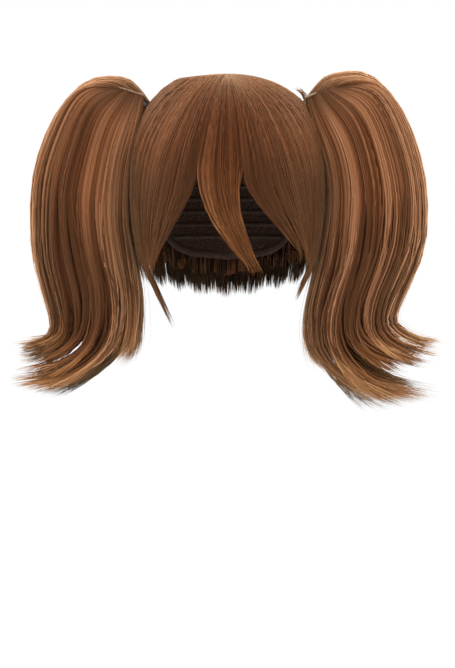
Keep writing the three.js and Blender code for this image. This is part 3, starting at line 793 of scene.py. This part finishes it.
def lockStrands(rng, index, count, stray=False):
    lock, rings, waves = lockAt(index), bob["rings"], bob["waves"]
    tipFall = math.sqrt(lock["tipDrop"])
    across = (np.arange(count) + rng.random(count)) / count * 2 - 1
    clumps = max(3, round(lock["width"] / bob["clumpWidth"]))
    clump = np.clip(((across + 1) / 2 * clumps).astype(int), 0, clumps - 1)
    middle = (clump + 0.5) / clumps * 2 - 1
    fromWhorl = rng.random(count) < bob["whorlShare"]
    atWhorl = rng.uniform(*bob["whorlStart"], count)
    start = np.where(fromWhorl, atWhorl, rng.uniform(*bob["laterStart"], count))
    inside = rng.random(count) < kindOf(lock, "lining")
    start = np.where(inside, math.sqrt(bob["liningDrop"]), start)
    short = rng.random(count) ** 1.6 * kindOf(lock, "shorter")
    long = 1.015 + kindOf(lock, "uneven") * rng.standard_normal(clumps)[clump]
    end = np.sqrt(endDrop(index, across) * (1 - short) * long)
    along = jitter(rng, count, rings, bob["ringBend"], bob["ringLoose"])
    fall = mix(start[:, None], end[:, None], along)
    share = (fall - startFall) / (tipFall - startFall)
    pull = kindOf(lock, "clumping") * smoothStep(share, 0.45, 1)
    place = mix(across[:, None], middle[:, None], pull)
    depth = layered(rng, count, bob["layers"])
    depth = np.where(inside, rng.uniform(*bob["liningDepth"], count), depth)
    rise = np.where(fromWhorl[:, None], 1, mix(0.3, 1, smoothStep(along, 0, 0.3)))
    scale = ringScale(lockAzimuth(lock, fall), fall)
    sway = wander(rng, clumps, rings, kindOf(lock, "sway"))[clump]
    sway = sway + wander(rng, count, rings, waves["strand"])
    sway = sway * mix(0.3, 1, smoothStep(share, 0.35, 0.9)) * smoothStep(share, 0.02, 0.5)
    azimuth = hairAzimuth(index, place, fall) + sway / scale
    lift = hairLift(index, place, fall, depth[:, None] * rise)
    ripple = wander(rng, clumps, rings, waves["clumpLift"])[clump]
    ripple = ripple + wander(rng, count, rings, waves["strandLift"])
    lift = lift + ripple * smoothStep(share, 0.2, 0.8)
    halfWidth = bob["halfWidth"] * rng.uniform(*strandShape["widths"], count)[:, None]
    halfWidth = halfWidth * widthAlong(along, 0.8, kindOf(lock, "tipWidthLeft"))
    halfWidth = halfWidth * np.clip(scale / 1.5, 0.22, 1)
    tone, differ = bob["shade"], bob["differ"]
    # painted light and shade: darker at the face, lighter at the sides
    shade = mix(tone["front"], tone["side"], smoothStep(frontAngle(lock), *tone["turn"]))
    shade = shade + differ["lock"] * rng.standard_normal()
    shade = shade + differ["clump"] * rng.standard_normal(clumps)[clump]
    shade = shade + differ["strand"] * np.clip(rng.standard_normal(count), -2, 1.2)
    # painted shade: strands lying deeper in the hair are darker
    shade = shade + differ["depth"] * (np.maximum(depth, 0.6) - 0.92)
    if "fringe" in lock["section"]:
        # painted highlight along the free edges of the fringe
        free = [lockAt(index + side)["section"] != lock["section"] for side in (-1, 1)]
        nearEdge = smoothStep(np.abs(across), 0.75, 1)
        shade = shade + bob["paintedEdgeHighlight"] * np.where(across < 0, *free) * nearEdge
    if stray:
        loose = bob["stray"]
        lift = lift + rng.uniform(*loose["lift"], count)[:, None] * smoothStep(share, 0.1, 0.9)
        azimuth = azimuth + rng.normal(0, loose["turn"], count)[:, None] * smoothStep(share, 0.3, 1) ** 2
        halfWidth = halfWidth * loose["width"]
    return {
        "path": overHead(azimuth, fall, lift),
        "outward": headNormal(azimuth, fall),
        "halfWidth": halfWidth,
        "shade": np.clip(shade, *strandShape["shades"]),
        "along": np.clip(fall / tipFall, *strandShape["ends"]),
    }


def sectionUnder(name, first, count):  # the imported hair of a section, inside its strands
    under = bob["under"]
    perLock, rows = under["perLock"], under["rows"]
    thin, thick = under["share"]
    index = np.repeat(np.arange(count), perLock)
    across = np.tile(np.linspace(-1, 1, perLock, endpoint=False), count)
    outer, inner, place = [], [], []
    for lock, side in zip(np.append(index, count - 1), np.append(across, 1.0)):
        lowest = endDrop(first + lock, np.array(side))
        end = math.sqrt(mix(bob["partDrop"], lowest, kindOf(lockAt(first + lock), "underEnd")))
        fall = np.linspace(startFall, end, rows)
        azimuth = hairAzimuth(first + lock, side * under["inset"], fall)
        fade = 1 - smoothStep(np.linspace(0, 1, rows), 0.7, 1)
        outer.append(overHead(azimuth, fall, hairLift(first + lock, side, fall, thin + thick * fade)))
        inner.append(overHead(azimuth, fall, hairLift(first + lock, side, fall, 0.0)))
        place.append((lock + (side + 1) / 2) * under["mapWidth"])
    outer, inner = np.array(outer), np.array(inner)
    step = np.linalg.norm(np.diff(outer, axis=1), axis=-1)
    along = np.concatenate([np.zeros((len(outer), 1)), np.cumsum(step, axis=1)], 1)
    place = np.broadcast_to(np.array(place)[:, None], along.shape)
    return sheetMesh(name, outer, inner, place, along)


def makeBob():
    rng = np.random.default_rng(bob["seed"])
    first = 0
    for section, locks in bobSections.items():
        strands = []
        for index in range(first, first + len(locks)):
            count = round(lockAt(index)["width"] * bob["strandsPerMm"])
            loose = max(3, round(count * bob["flyaways"]))
            strands.append(lockStrands(rng, index, count))
            strands.append(lockStrands(rng, index, loose, stray=True))
        look = hairFringe if section == "fringe_centre" else hairBob
        addPiece(strandMesh(f"{section}_strands", strands), look, section)
        addPiece(sectionUnder(f"{section}_under", first, len(locks)), hairUnder)
        first += len(locks)


makeBob()


# the ponytails

tailSections = {  # from the clip to the tips: innerX, innerZ, outerX, outerZ, halfDepth, midY
    "left": [
        (-66, -44, -61, -24, 28, 9),
        (-75, -48, -76, -5.5, 33, 9),
        (-82, -54, -97, 3.2, 38, 9),
        (-88, -66, -125.5, -1, 42, 9),
        (-88.3, -88, -150.5, -26, 46, 9),
        (-88.2, -112, -167, -60, 48, 9),
        (-87.5, -134, -175.2, -98, 48, 9),
        (-81.5, -165, -175, -152, 46, 8),
        (-74.5, -192, -166, -190, 41, 6),
        (-73, -224, -157.3, -218, 36, 4),
        (-82, -247, -160.5, -227, 32, 2),
        (-113, -262, -169, -231, 28, 1),
        (-152, -283, -181, -234, 24, 0),
        (-194, -278, -191, -238, 20, 0),
    ],
    "right": [
        (65, -42, 59, -22, 28, 3),
        (74, -47, 75, -5, 33, 3),
        (81, -54, 95, 5.5, 38, 3),
        (87.5, -66, 125, 5, 42, 2),
        (88.3, -88, 151.5, -21, 46, 1),
        (88, -112, 168.8, -59, 48, 0),
        (85.5, -136, 177.3, -102, 48, 0),
        (80, -167, 175.2, -150, 46, 0),
        (69.5, -198, 160, -188, 42, 0),
        (62.5, -228, 147.7, -212, 37, 0),
        (68, -248, 152, -219, 33, -1),
        (91, -263, 164, -227.5, 29, -1),
        (126, -291, 179, -233.5, 25, -2),
        (188, -285, 193, -240, 21, -2),
    ],
}
tail = {
    # each lock: turn (0 outer edge, 90 back, 180 inner edge), end, shade,
    # drift and rise of the tip, fullness
    # the shades also paint light and shade: darker locks where they lie in shadow, such as low in the
    # middle of the left tail and at its inner edge, lighter ones at the lit outer edge
    "locks": {
        "left": [
            (0, 1.0, 0.1, 0.02, 4, 1),
            (34, 0.98, 0.06, 0.03, 3, 1),
            (70, 0.94, -0.03, 0.1, 4, 1),
            (108, 0.98, 0.05, -0.2, 6, 1),
            (144, 1.0, 0.08, -0.3, 8, 1),
            (176, 0.82, -0.14, 0.0, 0, 1.5),
            (206, 0.84, 0.16, 0.0, 0, 1.5),
            (237, 1.01, 0.18, -0.3, 7, 1.4),
            (262, 0.98, -0.13, -0.26, 6, 1),
            (285, 0.94, -0.26, 0.1, 5, 0.9),
            (309, 0.93, -0.14, 0.14, 5, 0.9),
            (336, 0.98, 0.1, 0.1, 3, 1),
        ],
        "right": [
            (0, 1.0, 0.1, 0.02, 4, 1),
            (34, 0.98, 0.06, 0.03, 3, 1),
            (70, 0.96, 0.03, 0.12, 4, 1),
            (108, 0.98, -0.04, -0.2, 5, 1),
            (144, 1.01, 0.06, -0.3, 5, 1),
            (178, 0.86, -0.02, 0.0, 0, 1.4),
            (210, 1.01, 0.12, -0.22, 4, 1.2),
            (240, 1.01, 0.04, -0.4, 5, 1.2),
            (264, 0.95, -0.08, 0.16, 5, 1),
            (286, 0.96, 0.04, 0.2, 5, 1),
            (309, 0.98, 0.0, 0.13, 4, 1),
            (336, 0.99, 0.16, 0.06, 3, 1),
        ],
    },
    "wisp": {"left": 0.0, "right": 0.3},  # share of the inner lock that runs on along the lower edge
    # painted highlight: rim makes the strands at the outer edge lighter, where light grazes them
    "rim": 0.34,  # the outer edge has the lightest strands
    "shade": 0.525,
    # depth and edge paint shade: strands deep in the tail and at the edges of its locks are darker
    "differ": {"clump": 0.08, "strand": 0.2, "depth": 0.5, "edge": 0.12},  # in shade
    "layers": {"share": 0.78, "surface": (0.93, 1.0), "deep": (0.4, 0.93)},
    "groove": 0.92,
    "stroll": 5,  # degrees by which locks and clumps wander
    "crossing": 0.04,  # share of the strands that cross to the next lock
    "tipWidth": 0.26,
    "taperFrom": 0.62,
    "rootShare": 0.03,
    "rootReach": 0.62,
    "rootTo": 0.13,
    "inwards": 0.07,  # the inner strands lean on the side of the bob
    "fan": {  # the sewn line over the clip, from which the front and back strands spread
        "left": {"inner": (-73, 9, -16), "outer": (-104, 9, -6)},
        "right": {"inner": (68.5, 3, -18), "outer": (100, 3, -4.5)},
        "depth": 22,
        "narrowing": 0.6,  # the line comes to the middle of the tail at its outer end
        "to": 0.36,  # share of the tail where the fan ends
        "place": [0, 0.25, 0.5, 0.75, 1],  # from the inner end of the line to its outer end
        "slope": [88, 66, 42, 20, 4],  # degrees below level, in which the strands leave the line
        "bulge": 0.45,
        "sides": (0.15, 0.5),
    },
    "under": {"rows": 40, "columns": 72, "end": 0.84, "closeFrom": 0.6, "reach": 0.88, "length": 380},
    "rings": 25,
    "ringBend": 1.25,
    "ringLoose": 0.06,
    "strands": 1760,
    "clumpsPerLock": 5,
    "halfWidth": 0.74,
    "flyaways": 50,
    "seed": {"left": 23, "right": 29},
}


def tailPoint(side, share, across, deep):
    rows = tailSections[side]
    section = smoothTable(np.linspace(0, 1, len(rows)), rows, share)
    innerX, innerZ, outerX, outerZ, halfDepth, midY = np.moveaxis(section, -1, 0)
    outwards = (1 + across) / 2
    x, z = mix(innerX, outerX, outwards), mix(innerZ, outerZ, outwards)
    return np.stack([x, midY + deep * halfDepth, z], -1)


def smoothAlong(paths, spread):  # evens out the bends of the strands
    reach = int(3 * spread)
    weights = np.exp(-0.5 * (np.arange(-reach, reach + 1) / spread) ** 2)
    before = 2 * paths[:, :1] - paths[:, reach:0:-1]
    after = 2 * paths[:, -1:] - paths[:, -2:-reach - 2:-1]
    padded = np.concatenate([before, paths, after], 1)
    rings = paths.shape[1]
    return sum(w * padded[:, k:k + rings] for k, w in enumerate(weights)) / weights.sum()


def bodyPoint(side, share, angle, reach, shift=0):  # on the swelling body of a ponytail
    rootReach = mix(tail["rootReach"], 0.95, smoothStep(-np.cos(angle), 0.2, 0.7))
    swell = reach * mix(rootReach, 1, smoothStep(share, tail["rootShare"], tail["rootTo"]))
    across = swell * np.cos(angle)
    lean = smoothStep(-across, 0.3, 0.9) * smoothStep(share, 0.1, 0.25)
    lean = lean * (1 - smoothStep(share, 0.5, 0.65))
    return tailPoint(side, share, across - tail["inwards"] * lean + shift, swell * np.sin(angle))


def fanPoint(side, share, start, angle, reach):  # spreads from the sewn line and joins the body
    fan = tail["fan"]
    line = fan[side]
    outwards = np.clip((1 + np.cos(angle)) / 1.8, 0, 1)
    face = np.sign(np.sin(angle))
    root = mix(np.array(line["inner"], float), np.array(line["outer"], float), outwards[..., None])
    depth = fan["depth"] * (1 - fan["narrowing"] * outwards)
    root = root + np.stack([0 * angle, face * depth * reach, 0 * angle], -1)
    step = 0.01
    goal = bodyPoint(side, fan["to"] + 0 * angle, angle, reach)
    ahead = bodyPoint(side, fan["to"] + step + 0 * angle, angle, reach)
    behind = bodyPoint(side, fan["to"] - step + 0 * angle, angle, reach)
    span = (fan["to"] - start)[..., None]
    arrive = (ahead - behind) / (2 * step) * span
    slope = np.radians(np.interp(outwards, fan["place"], fan["slope"]))
    out = math.copysign(1, line["outer"][0])
    leave = np.stack([out * np.cos(slope), face * fan["bulge"], -np.sin(slope)], -1)
    leave = leave * np.linalg.norm(goal - root, axis=-1, keepdims=True)
    t = np.clip((share - start) / (fan["to"] - start), 0, 1)[..., None]
    return bridge(root, goal, leave, arrive, t)


def fanShare(share, angle):  # 1 where the hair follows the fan, 0 where it follows the body
    fan = tail["fan"]
    return np.where(share < fan["to"], smoothStep(np.abs(np.sin(angle)), *fan["sides"]), 0)


def tailStrands(rng, side, count, stray=False):
    rings = tail["rings"]
    turns, ends, shades, drifts, rises, fullness = np.array(tail["locks"][side], float).T
    locks = len(turns)
    spread = np.diff(np.append(turns, 360))
    chance = (spread + np.roll(spread, 1)) * fullness
    lock = rng.choice(locks, count, p=chance / chance.sum())
    offset = rng.uniform(-0.5, 0.5, count)  # place in the lock, from edge to edge
    wide = np.where(offset < 0, np.roll(spread, 1)[lock], spread[lock])
    perLock = tail["clumpsPerLock"]
    clump = np.clip(((offset + 0.5) * perLock).astype(int), 0, perLock - 1)
    clumpOffset = (clump + 0.5) / perLock - 0.5
    group = lock * perLock + clump
    groups = locks * perLock
    inner = np.abs(turns[lock] - 180) < 10
    brief = ends[lock][:, None] < 0.9  # the short locks at the inner edge stay broad
    fromMiddle = np.abs(offset - clumpOffset) * perLock * 2
    end = ends[lock] * (1 - np.where(inner, 0.03, 0.06) * rng.random(groups)[group])
    end = np.where(inner & (rng.random(count) < tail["wisp"][side]), 1.0, end)
    end = end * (1 - 0.045 * fromMiddle ** 2 - 0.05 * rng.random(count) ** 2.5)
    along = jitter(rng, count, rings, tail["ringBend"], tail["ringLoose"])
    start = tail["rootShare"] + 0.025 * rng.random(count)[:, None]
    share = mix(start, end[:, None], along)
    done = share / end[:, None]

    def lockAngle(done):
        narrow = mix(1, tail["tipWidth"], smoothStep(done, tail["taperFrom"], 1))
        narrow = np.where(brief, mix(1, 0.8, smoothStep(done, 0.85, 1)), narrow)
        pull = mix(0.1, np.where(brief, 0.5, 0.92), smoothStep(done, 0.45, 1))
        place = mix(offset[:, None], clumpOffset[:, None], pull) * narrow
        return turns[lock][:, None] + place * wide[:, None]

    stroll = wander(rng, groups, rings, tail["stroll"])[group]
    stroll = stroll + wander(rng, locks, rings, tail["stroll"])[lock]
    cross = np.where(rng.random(count) < tail["crossing"], rng.normal(0, 15, count), 0)[:, None]
    stroll = stroll * mix(1, 0.4, smoothStep(done, 0.7, 1)) + cross * smoothStep(done, 0.4, 0.8)
    angle = np.radians(lockAngle(done) + stroll * smoothStep(share, tail["fan"]["to"], 0.6))
    fanAngle = np.radians(lockAngle(tail["fan"]["to"] / end[:, None]))
    ridge = mix(1, tail["groove"], np.abs(2 * offset) ** 3)
    deepIn = layered(rng, count, tail["layers"])
    fill = np.where(rng.random(groups) < 0.4, rng.uniform(0.35, 1, groups), 1)[group][:, None]
    reach = (ridge * deepIn)[:, None] * mix(1, fill, smoothStep(done, 0.66, 1))
    shift = drifts[lock][:, None] * smoothStep(share, 0.68, 1)
    path = bodyPoint(side, share, angle, reach, shift)
    fanned = fanShare(share, fanAngle)
    path = mix(path, fanPoint(side, share, start, fanAngle, reach[:, :1]), fanned[..., None])
    soft = smoothStep(share, 0.5, 0.7) * mix(0.4, 1, smoothStep(-np.cos(angle), -0.9, -0.5))
    path = mix(path, smoothAlong(path, 1.8), soft[..., None])
    middle = tailPoint(side, share, 0 * angle, 0 * angle)
    outward = unit(tailPoint(side, share, np.cos(angle), np.sin(angle)) - middle)
    hangOut = np.stack([0 * angle, np.sign(np.sin(fanAngle)) + 0 * angle, 0 * angle + 0.35], -1)
    hang = fanned * (1 - smoothStep(share, start, tail["fan"]["to"]))
    outward = unit(mix(outward, hangOut, hang[..., None]))
    flow = unit(np.gradient(path, axis=1))
    outward = unit(outward - flow * (outward * flow).sum(-1, keepdims=True))
    beside = np.cross(flow, outward)
    grow = smoothStep(done, 0.12, 0.9)
    for size, label, many in ((1.3, group, groups), (0.5, np.arange(count), count)):
        path = path + beside * (wander(rng, many, rings, size)[label] * grow)[..., None]
        path = path + outward * (wander(rng, many, rings, size * 0.5)[label] * grow)[..., None]
    loose = rng.normal(0, 2.6, (groups, 3))[group] + rng.normal(0, 1.0, (count, 3))
    path = path + loose[:, None] * (smoothStep(done, 0.6, 1.05) ** 2)[..., None]
    path[..., 2] += rises[lock][:, None] * smoothStep(share, 0.86, 1) ** 1.5
    halfWidth = tail["halfWidth"] * rng.uniform(*strandShape["widths"], count)[:, None]
    halfWidth = halfWidth * widthAlong(along, 0.75, 0.36)
    differ = tail["differ"]
    shade = tail["shade"] + shades[lock] + differ["clump"] * rng.standard_normal(groups)[group]
    shade = shade + differ["strand"] * np.clip(rng.standard_normal(count), -2, 0.8)
    # painted shade: deeper strands and those at the parting edges of the locks are darker
    shade = shade + differ["depth"] * (deepIn - 0.95) - differ["edge"] * np.abs(2 * offset) ** 4
    # painted highlight on the strands at the outer edge
    shade = shade + tail["rim"] * rng.random(count) * smoothStep(np.cos(angle[:, rings // 2]), 0.88, 0.98)
    if stray:
        path = path + outward * (rng.uniform(0, 5, count)[:, None] * smoothStep(done, 0.3, 0.9))[..., None]
        halfWidth = halfWidth * 0.4
    return {
        "path": path,
        "outward": outward,
        "halfWidth": halfWidth,
        "shade": np.clip(shade, *strandShape["shades"]),
        "along": np.clip(done, *strandShape["ends"]),
    }


tuft = {  # a few loose ends over the clip on the right
    "roots": (70, -6, -18),
    "tips": (62.5, -12, -9.5),
    "count": 14,
    "spread": 0.9,
    "halfWidth": 0.24,
}


def tuftStrands(rng):
    count, rings = tuft["count"], tail["rings"]
    along = np.linspace(0, 1, rings)[None, :, None]
    root = np.array(tuft["roots"], float) + rng.normal(0, tuft["spread"], (count, 1, 3)) * (2.4, 1, 0.5)
    apart = rng.normal(0, tuft["spread"] * 1.5, (count, 1, 3))
    tip = np.array(tuft["tips"], float) + apart * (1.5, 1.5, 0.8)
    bow = rng.normal(0, 0.6, (count, 1, 3)) + (0, 0, 1.2)
    path = mix(root, tip, along) + bow * 4 * along * (1 - along)
    outward = np.broadcast_to((0.0, -1.0, 0.0), path.shape)
    wide = np.full((count, 1), tuft["halfWidth"]) * widthAlong(along[..., 0], 0.7, 0.2)
    shade = np.clip(rng.normal(0.75, 0.12, count), *strandShape["shades"])
    v = np.broadcast_to(mix(0.5, 0.95, along[..., 0]), (count, rings))
    return {"path": path, "outward": outward, "halfWidth": wide, "shade": shade, "along": v}


def tailUnder(name, side):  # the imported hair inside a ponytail
    under = tail["under"]
    place, aside = ringGrid(under["rows"], under["columns"])
    root = tail["rootShare"] + 0.02
    share = np.linspace(root, under["end"], under["rows"])[:, None]
    turn = np.linspace(0, 360, under["columns"], endpoint=False)[None]
    turns = np.array([lock[0] for lock in tail["locks"][side]] + [360.0])
    near = np.abs(turn.T - turns[None]).min(1)[None] / 18
    ridge = mix(1, tail["groove"], np.clip(near, 0, 1) ** 3) * under["reach"]
    reach = ridge * (1 - smoothStep(share, under["closeFrom"], under["end"]))
    angle = np.radians(turn) + 0 * share
    share = share + 0 * turn
    fanReach = np.broadcast_to(ridge, angle.shape)
    fan = fanPoint(side, share, np.full(angle.shape, root), angle, fanReach)
    points = mix(bodyPoint(side, share, angle, reach), fan, fanShare(share, angle)[..., None])
    turnSign = -1 if side == "right" else 1
    quads = gridQuads(place, aside)[:, [0, 3, 2, 1]]
    ends = [endFan(place.size, aside[0], place[0]), endFan(place.size + 1, place[-1], aside[-1])]
    faces = [corners[:, ::turnSign] for corners in (quads, *ends)]
    flat = np.concatenate([points.reshape(-1, 3), points[0].mean(0)[None], points[-1].mean(0)[None]])
    flow = np.stack([turn * 0.7 + 0 * share, share * under["length"]], -1).reshape(-1, 2)
    flow = np.concatenate([flow, [[0, 0], [0, under["length"]]]])
    return meshOf(name, flat, faces, flow, "flow")


def makeTails():
    for side in tailSections:
        rng = np.random.default_rng(tail["seed"][side])
        node = f"ponytail_{side}"
        strands = [tailStrands(rng, side, tail["strands"])]
        strands.append(tailStrands(rng, side, tail["flyaways"], stray=True))
        if side == "right":
            strands.append(tuftStrands(rng))
        for half, wanted in (("front", True), ("back", False)):
            chosen = []
            for group in strands:
                inFront = group["outward"][:, tail["rings"] // 2, 1] < 0
                chosen.append({key: value[inFront == wanted] for key, value in group.items()})
            addPiece(strandMesh(f"{node}_{half}", chosen), hairTail, node)
        addPiece(tailUnder(f"{node}_under", side), hairUnder)


makeTails()


# claw clips and the sewn lines over them

claw = {
    "dark": (0.0045, 0.004, 0.004),
    "light": (0.011, 0.009, 0.008),
    "grain": 700,
    "roughness": (0.4, 0.6),
    "edge": 0.0006,
}


def clawMaterial(name, look):  # moulded plastic
    material, tree = newMaterial(name)
    place = objectPlace(tree)
    grain = addNoise(tree, place, look["grain"], 3.0)
    smear = addNoise(tree, place, look["grain"] / 10)
    setShader(tree, {
        "Base Color": twoTones(tree, smear, look, 0.35, 0.7),
        "Roughness": addRange(tree, smear, *noiseSpread, *look["roughness"]),
        "Normal": addBump(tree, grain, 0.15, 0.0002),
    })
    return material


def finishClaws():
    plastic = clawMaterial("clawPlastic", claw)
    for side in ("left", "right"):
        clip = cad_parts[f"claw_clip_{side}"]
        clip.data.materials.clear()
        clip.data.materials.append(plastic)
        soft = clip.modifiers.new("softEdges", "BEVEL")
        soft.width, soft.segments = claw["edge"], 2
        soft.limit_method = "ANGLE"


finishClaws()

seam = {
    "halfWide": 0.7,
    "halfThick": 0.5,
    "points": 40,
    "reach": {"left": 0.75, "right": 0.3},  # share of the line where the tape shows
    "forward": 22.5,  # in front of the middle of the ponytail
    "above": 1.2,
    "tape": {"dark": (0.09, 0.036, 0.016), "light": (0.22, 0.11, 0.06), "ribs": 1200, "bump": 0.0003},
    "thread": {"dark": (0.22, 0.15, 0.105), "light": (0.38, 0.29, 0.225), "ribs": 2500, "bump": 0.0001},
    "stitches": 17,
    "stitchHalf": 0.22,
    "slant": 0.9,
}


def makeSeams():
    tape = ribMaterial("weftTape", seam["tape"])
    thread = ribMaterial("weftThread", seam["thread"])
    for side in tailSections:
        line = tail["fan"][side]
        share = np.linspace(0.02, seam["reach"][side], seam["points"])[:, None]
        path = mix(np.array(line["inner"], float), np.array(line["outer"], float), share)
        forward = seam["forward"] * (1 - tail["fan"]["narrowing"] * share)
        path = path + np.concatenate([0 * share, -forward, seam["above"] + 0 * share], 1)
        outward = np.broadcast_to(unit(np.array([0.0, -0.75, 0.65])), path.shape)
        strip = tubePart(path, outward, seam["halfWide"], seam["halfThick"])
        addPiece(joinParts(f"weft_{side}", [strip]), tape)
        stitches = []
        flow = unit(np.gradient(path, axis=0))
        beside = np.cross(flow, outward)
        reach = np.linspace(-1, 1, 7)[:, None]
        arch = seam["halfThick"] * (1.35 - 0.75 * reach ** 2)
        for k, at in enumerate(np.linspace(2, seam["points"] - 3, seam["stitches"]).astype(int)):
            slant = (-1) ** k * seam["slant"]
            loop = path[at] + beside[at] * reach * seam["halfWide"] * 1.15
            loop = loop + flow[at] * reach * slant + outward[at] * arch
            facing = np.broadcast_to(outward[at], loop.shape)
            stitches.append(tubePart(loop, facing, seam["stitchHalf"], seam["stitchHalf"]))
        addPiece(joinParts(f"weft_{side}_thread", stitches), thread)
    print("clips and sewn lines made")


makeSeams()


# studio

studio = {
    "aim": (0, 0, -226),
    "tall": 594.5,  # height of the picture at the aim
    "lens": 150,
    "sensor": 36,
    "elevation": 3,
    "floor": -800,
    "floorRadius": 1400,
    "behind": 1.0,  # light from behind the wig and from in front of it
    "before": 0.36,
}


def makeStudio():
    scene = bpy.context.scene
    scene.view_settings.view_transform = "Standard"
    world = bpy.data.worlds.new("studioWhite")
    scene.world = world
    world.use_nodes = True
    tree = world.node_tree
    direction = addNode(tree, "TexCoord", {}).outputs["Generated"]
    level = addRange(tree, splitVector(tree, direction)[1], -0.5, 0.6, studio["before"], studio["behind"])
    plug(tree, (1, 1, 1), tree.nodes["Background"].inputs[0])
    plug(tree, level, tree.nodes["Background"].inputs[1])
    camera = bpy.data.cameras.new("camera")
    camera.lens, camera.sensor_width = studio["lens"], studio["sensor"]
    holder = bpy.data.objects.new("camera", camera)
    scene.collection.objects.link(holder)
    distance = studio["tall"] / studio["sensor"] * studio["lens"]
    tilt = math.radians(studio["elevation"])
    aim = Vector(studio["aim"])
    holder.location = (aim + distance * Vector((0, -math.cos(tilt), math.sin(tilt)))) * mm
    holder.rotation_euler = (math.pi / 2 - tilt, 0, 0)
    camera.clip_end = 50
    scene.camera = holder


def addLight(name, place, aim, size, power, colour):
    light = bpy.data.lights.new(name, "AREA")
    light.size, light.energy, light.color = size, power, colour
    holder = bpy.data.objects.new(name, light)
    bpy.context.scene.collection.objects.link(holder)
    holder.location = place
    holder.rotation_euler = (Vector(aim) - Vector(place)).to_track_quat("-Z", "Y").to_euler()


lights = [  # name, place, aim, size, power, colour
    ("fill", (0.0, -2.4, 0.1), (0, 0, -0.2), 1.4, 26, (1, 0.98, 0.96)),
    ("sideLeft", (-1.0, -1.15, 0.8), (-0.12, 0, -0.12), 0.9, 19, (1, 0.96, 0.91)),
    ("sideRight", (1.0, -1.15, 0.8), (0.12, 0, -0.12), 0.9, 19, (1, 0.96, 0.91)),
    ("rimLeft", (-1.15, 0.45, 1.0), (-0.1, 0, -0.1), 1.1, 41, (1, 0.94, 0.86)),
    ("rimRight", (1.15, 0.45, 1.0), (0.1, 0, -0.1), 1.1, 41, (1, 0.94, 0.86)),
]


def makeFloor():
    turn = np.linspace(0, 2 * np.pi, 96, endpoint=False)
    rim = np.stack([np.cos(turn), np.sin(turn)], -1) * studio["floorRadius"]
    points = np.column_stack([rim, 0 * turn + studio["floor"]])
    mesh = meshOf("floor", points, [np.arange(len(turn))[None]])
    floor = bpy.data.objects.new("floor", mesh)
    material, tree = newMaterial("paleFloor")
    grain = addNoise(tree, objectPlace(tree), 3.0)
    colour = addRamp(tree, grain, [(0, (0.9, 0.9, 0.9)), (1, (0.96, 0.96, 0.96))])
    setShader(tree, {"Base Color": colour, "Roughness": 0.8})
    mesh.materials.append(material)
    bpy.context.scene.collection.objects.link(floor)


makeStudio()
for light in lights:
    addLight(*light)
makeFloor()
print("studio made")
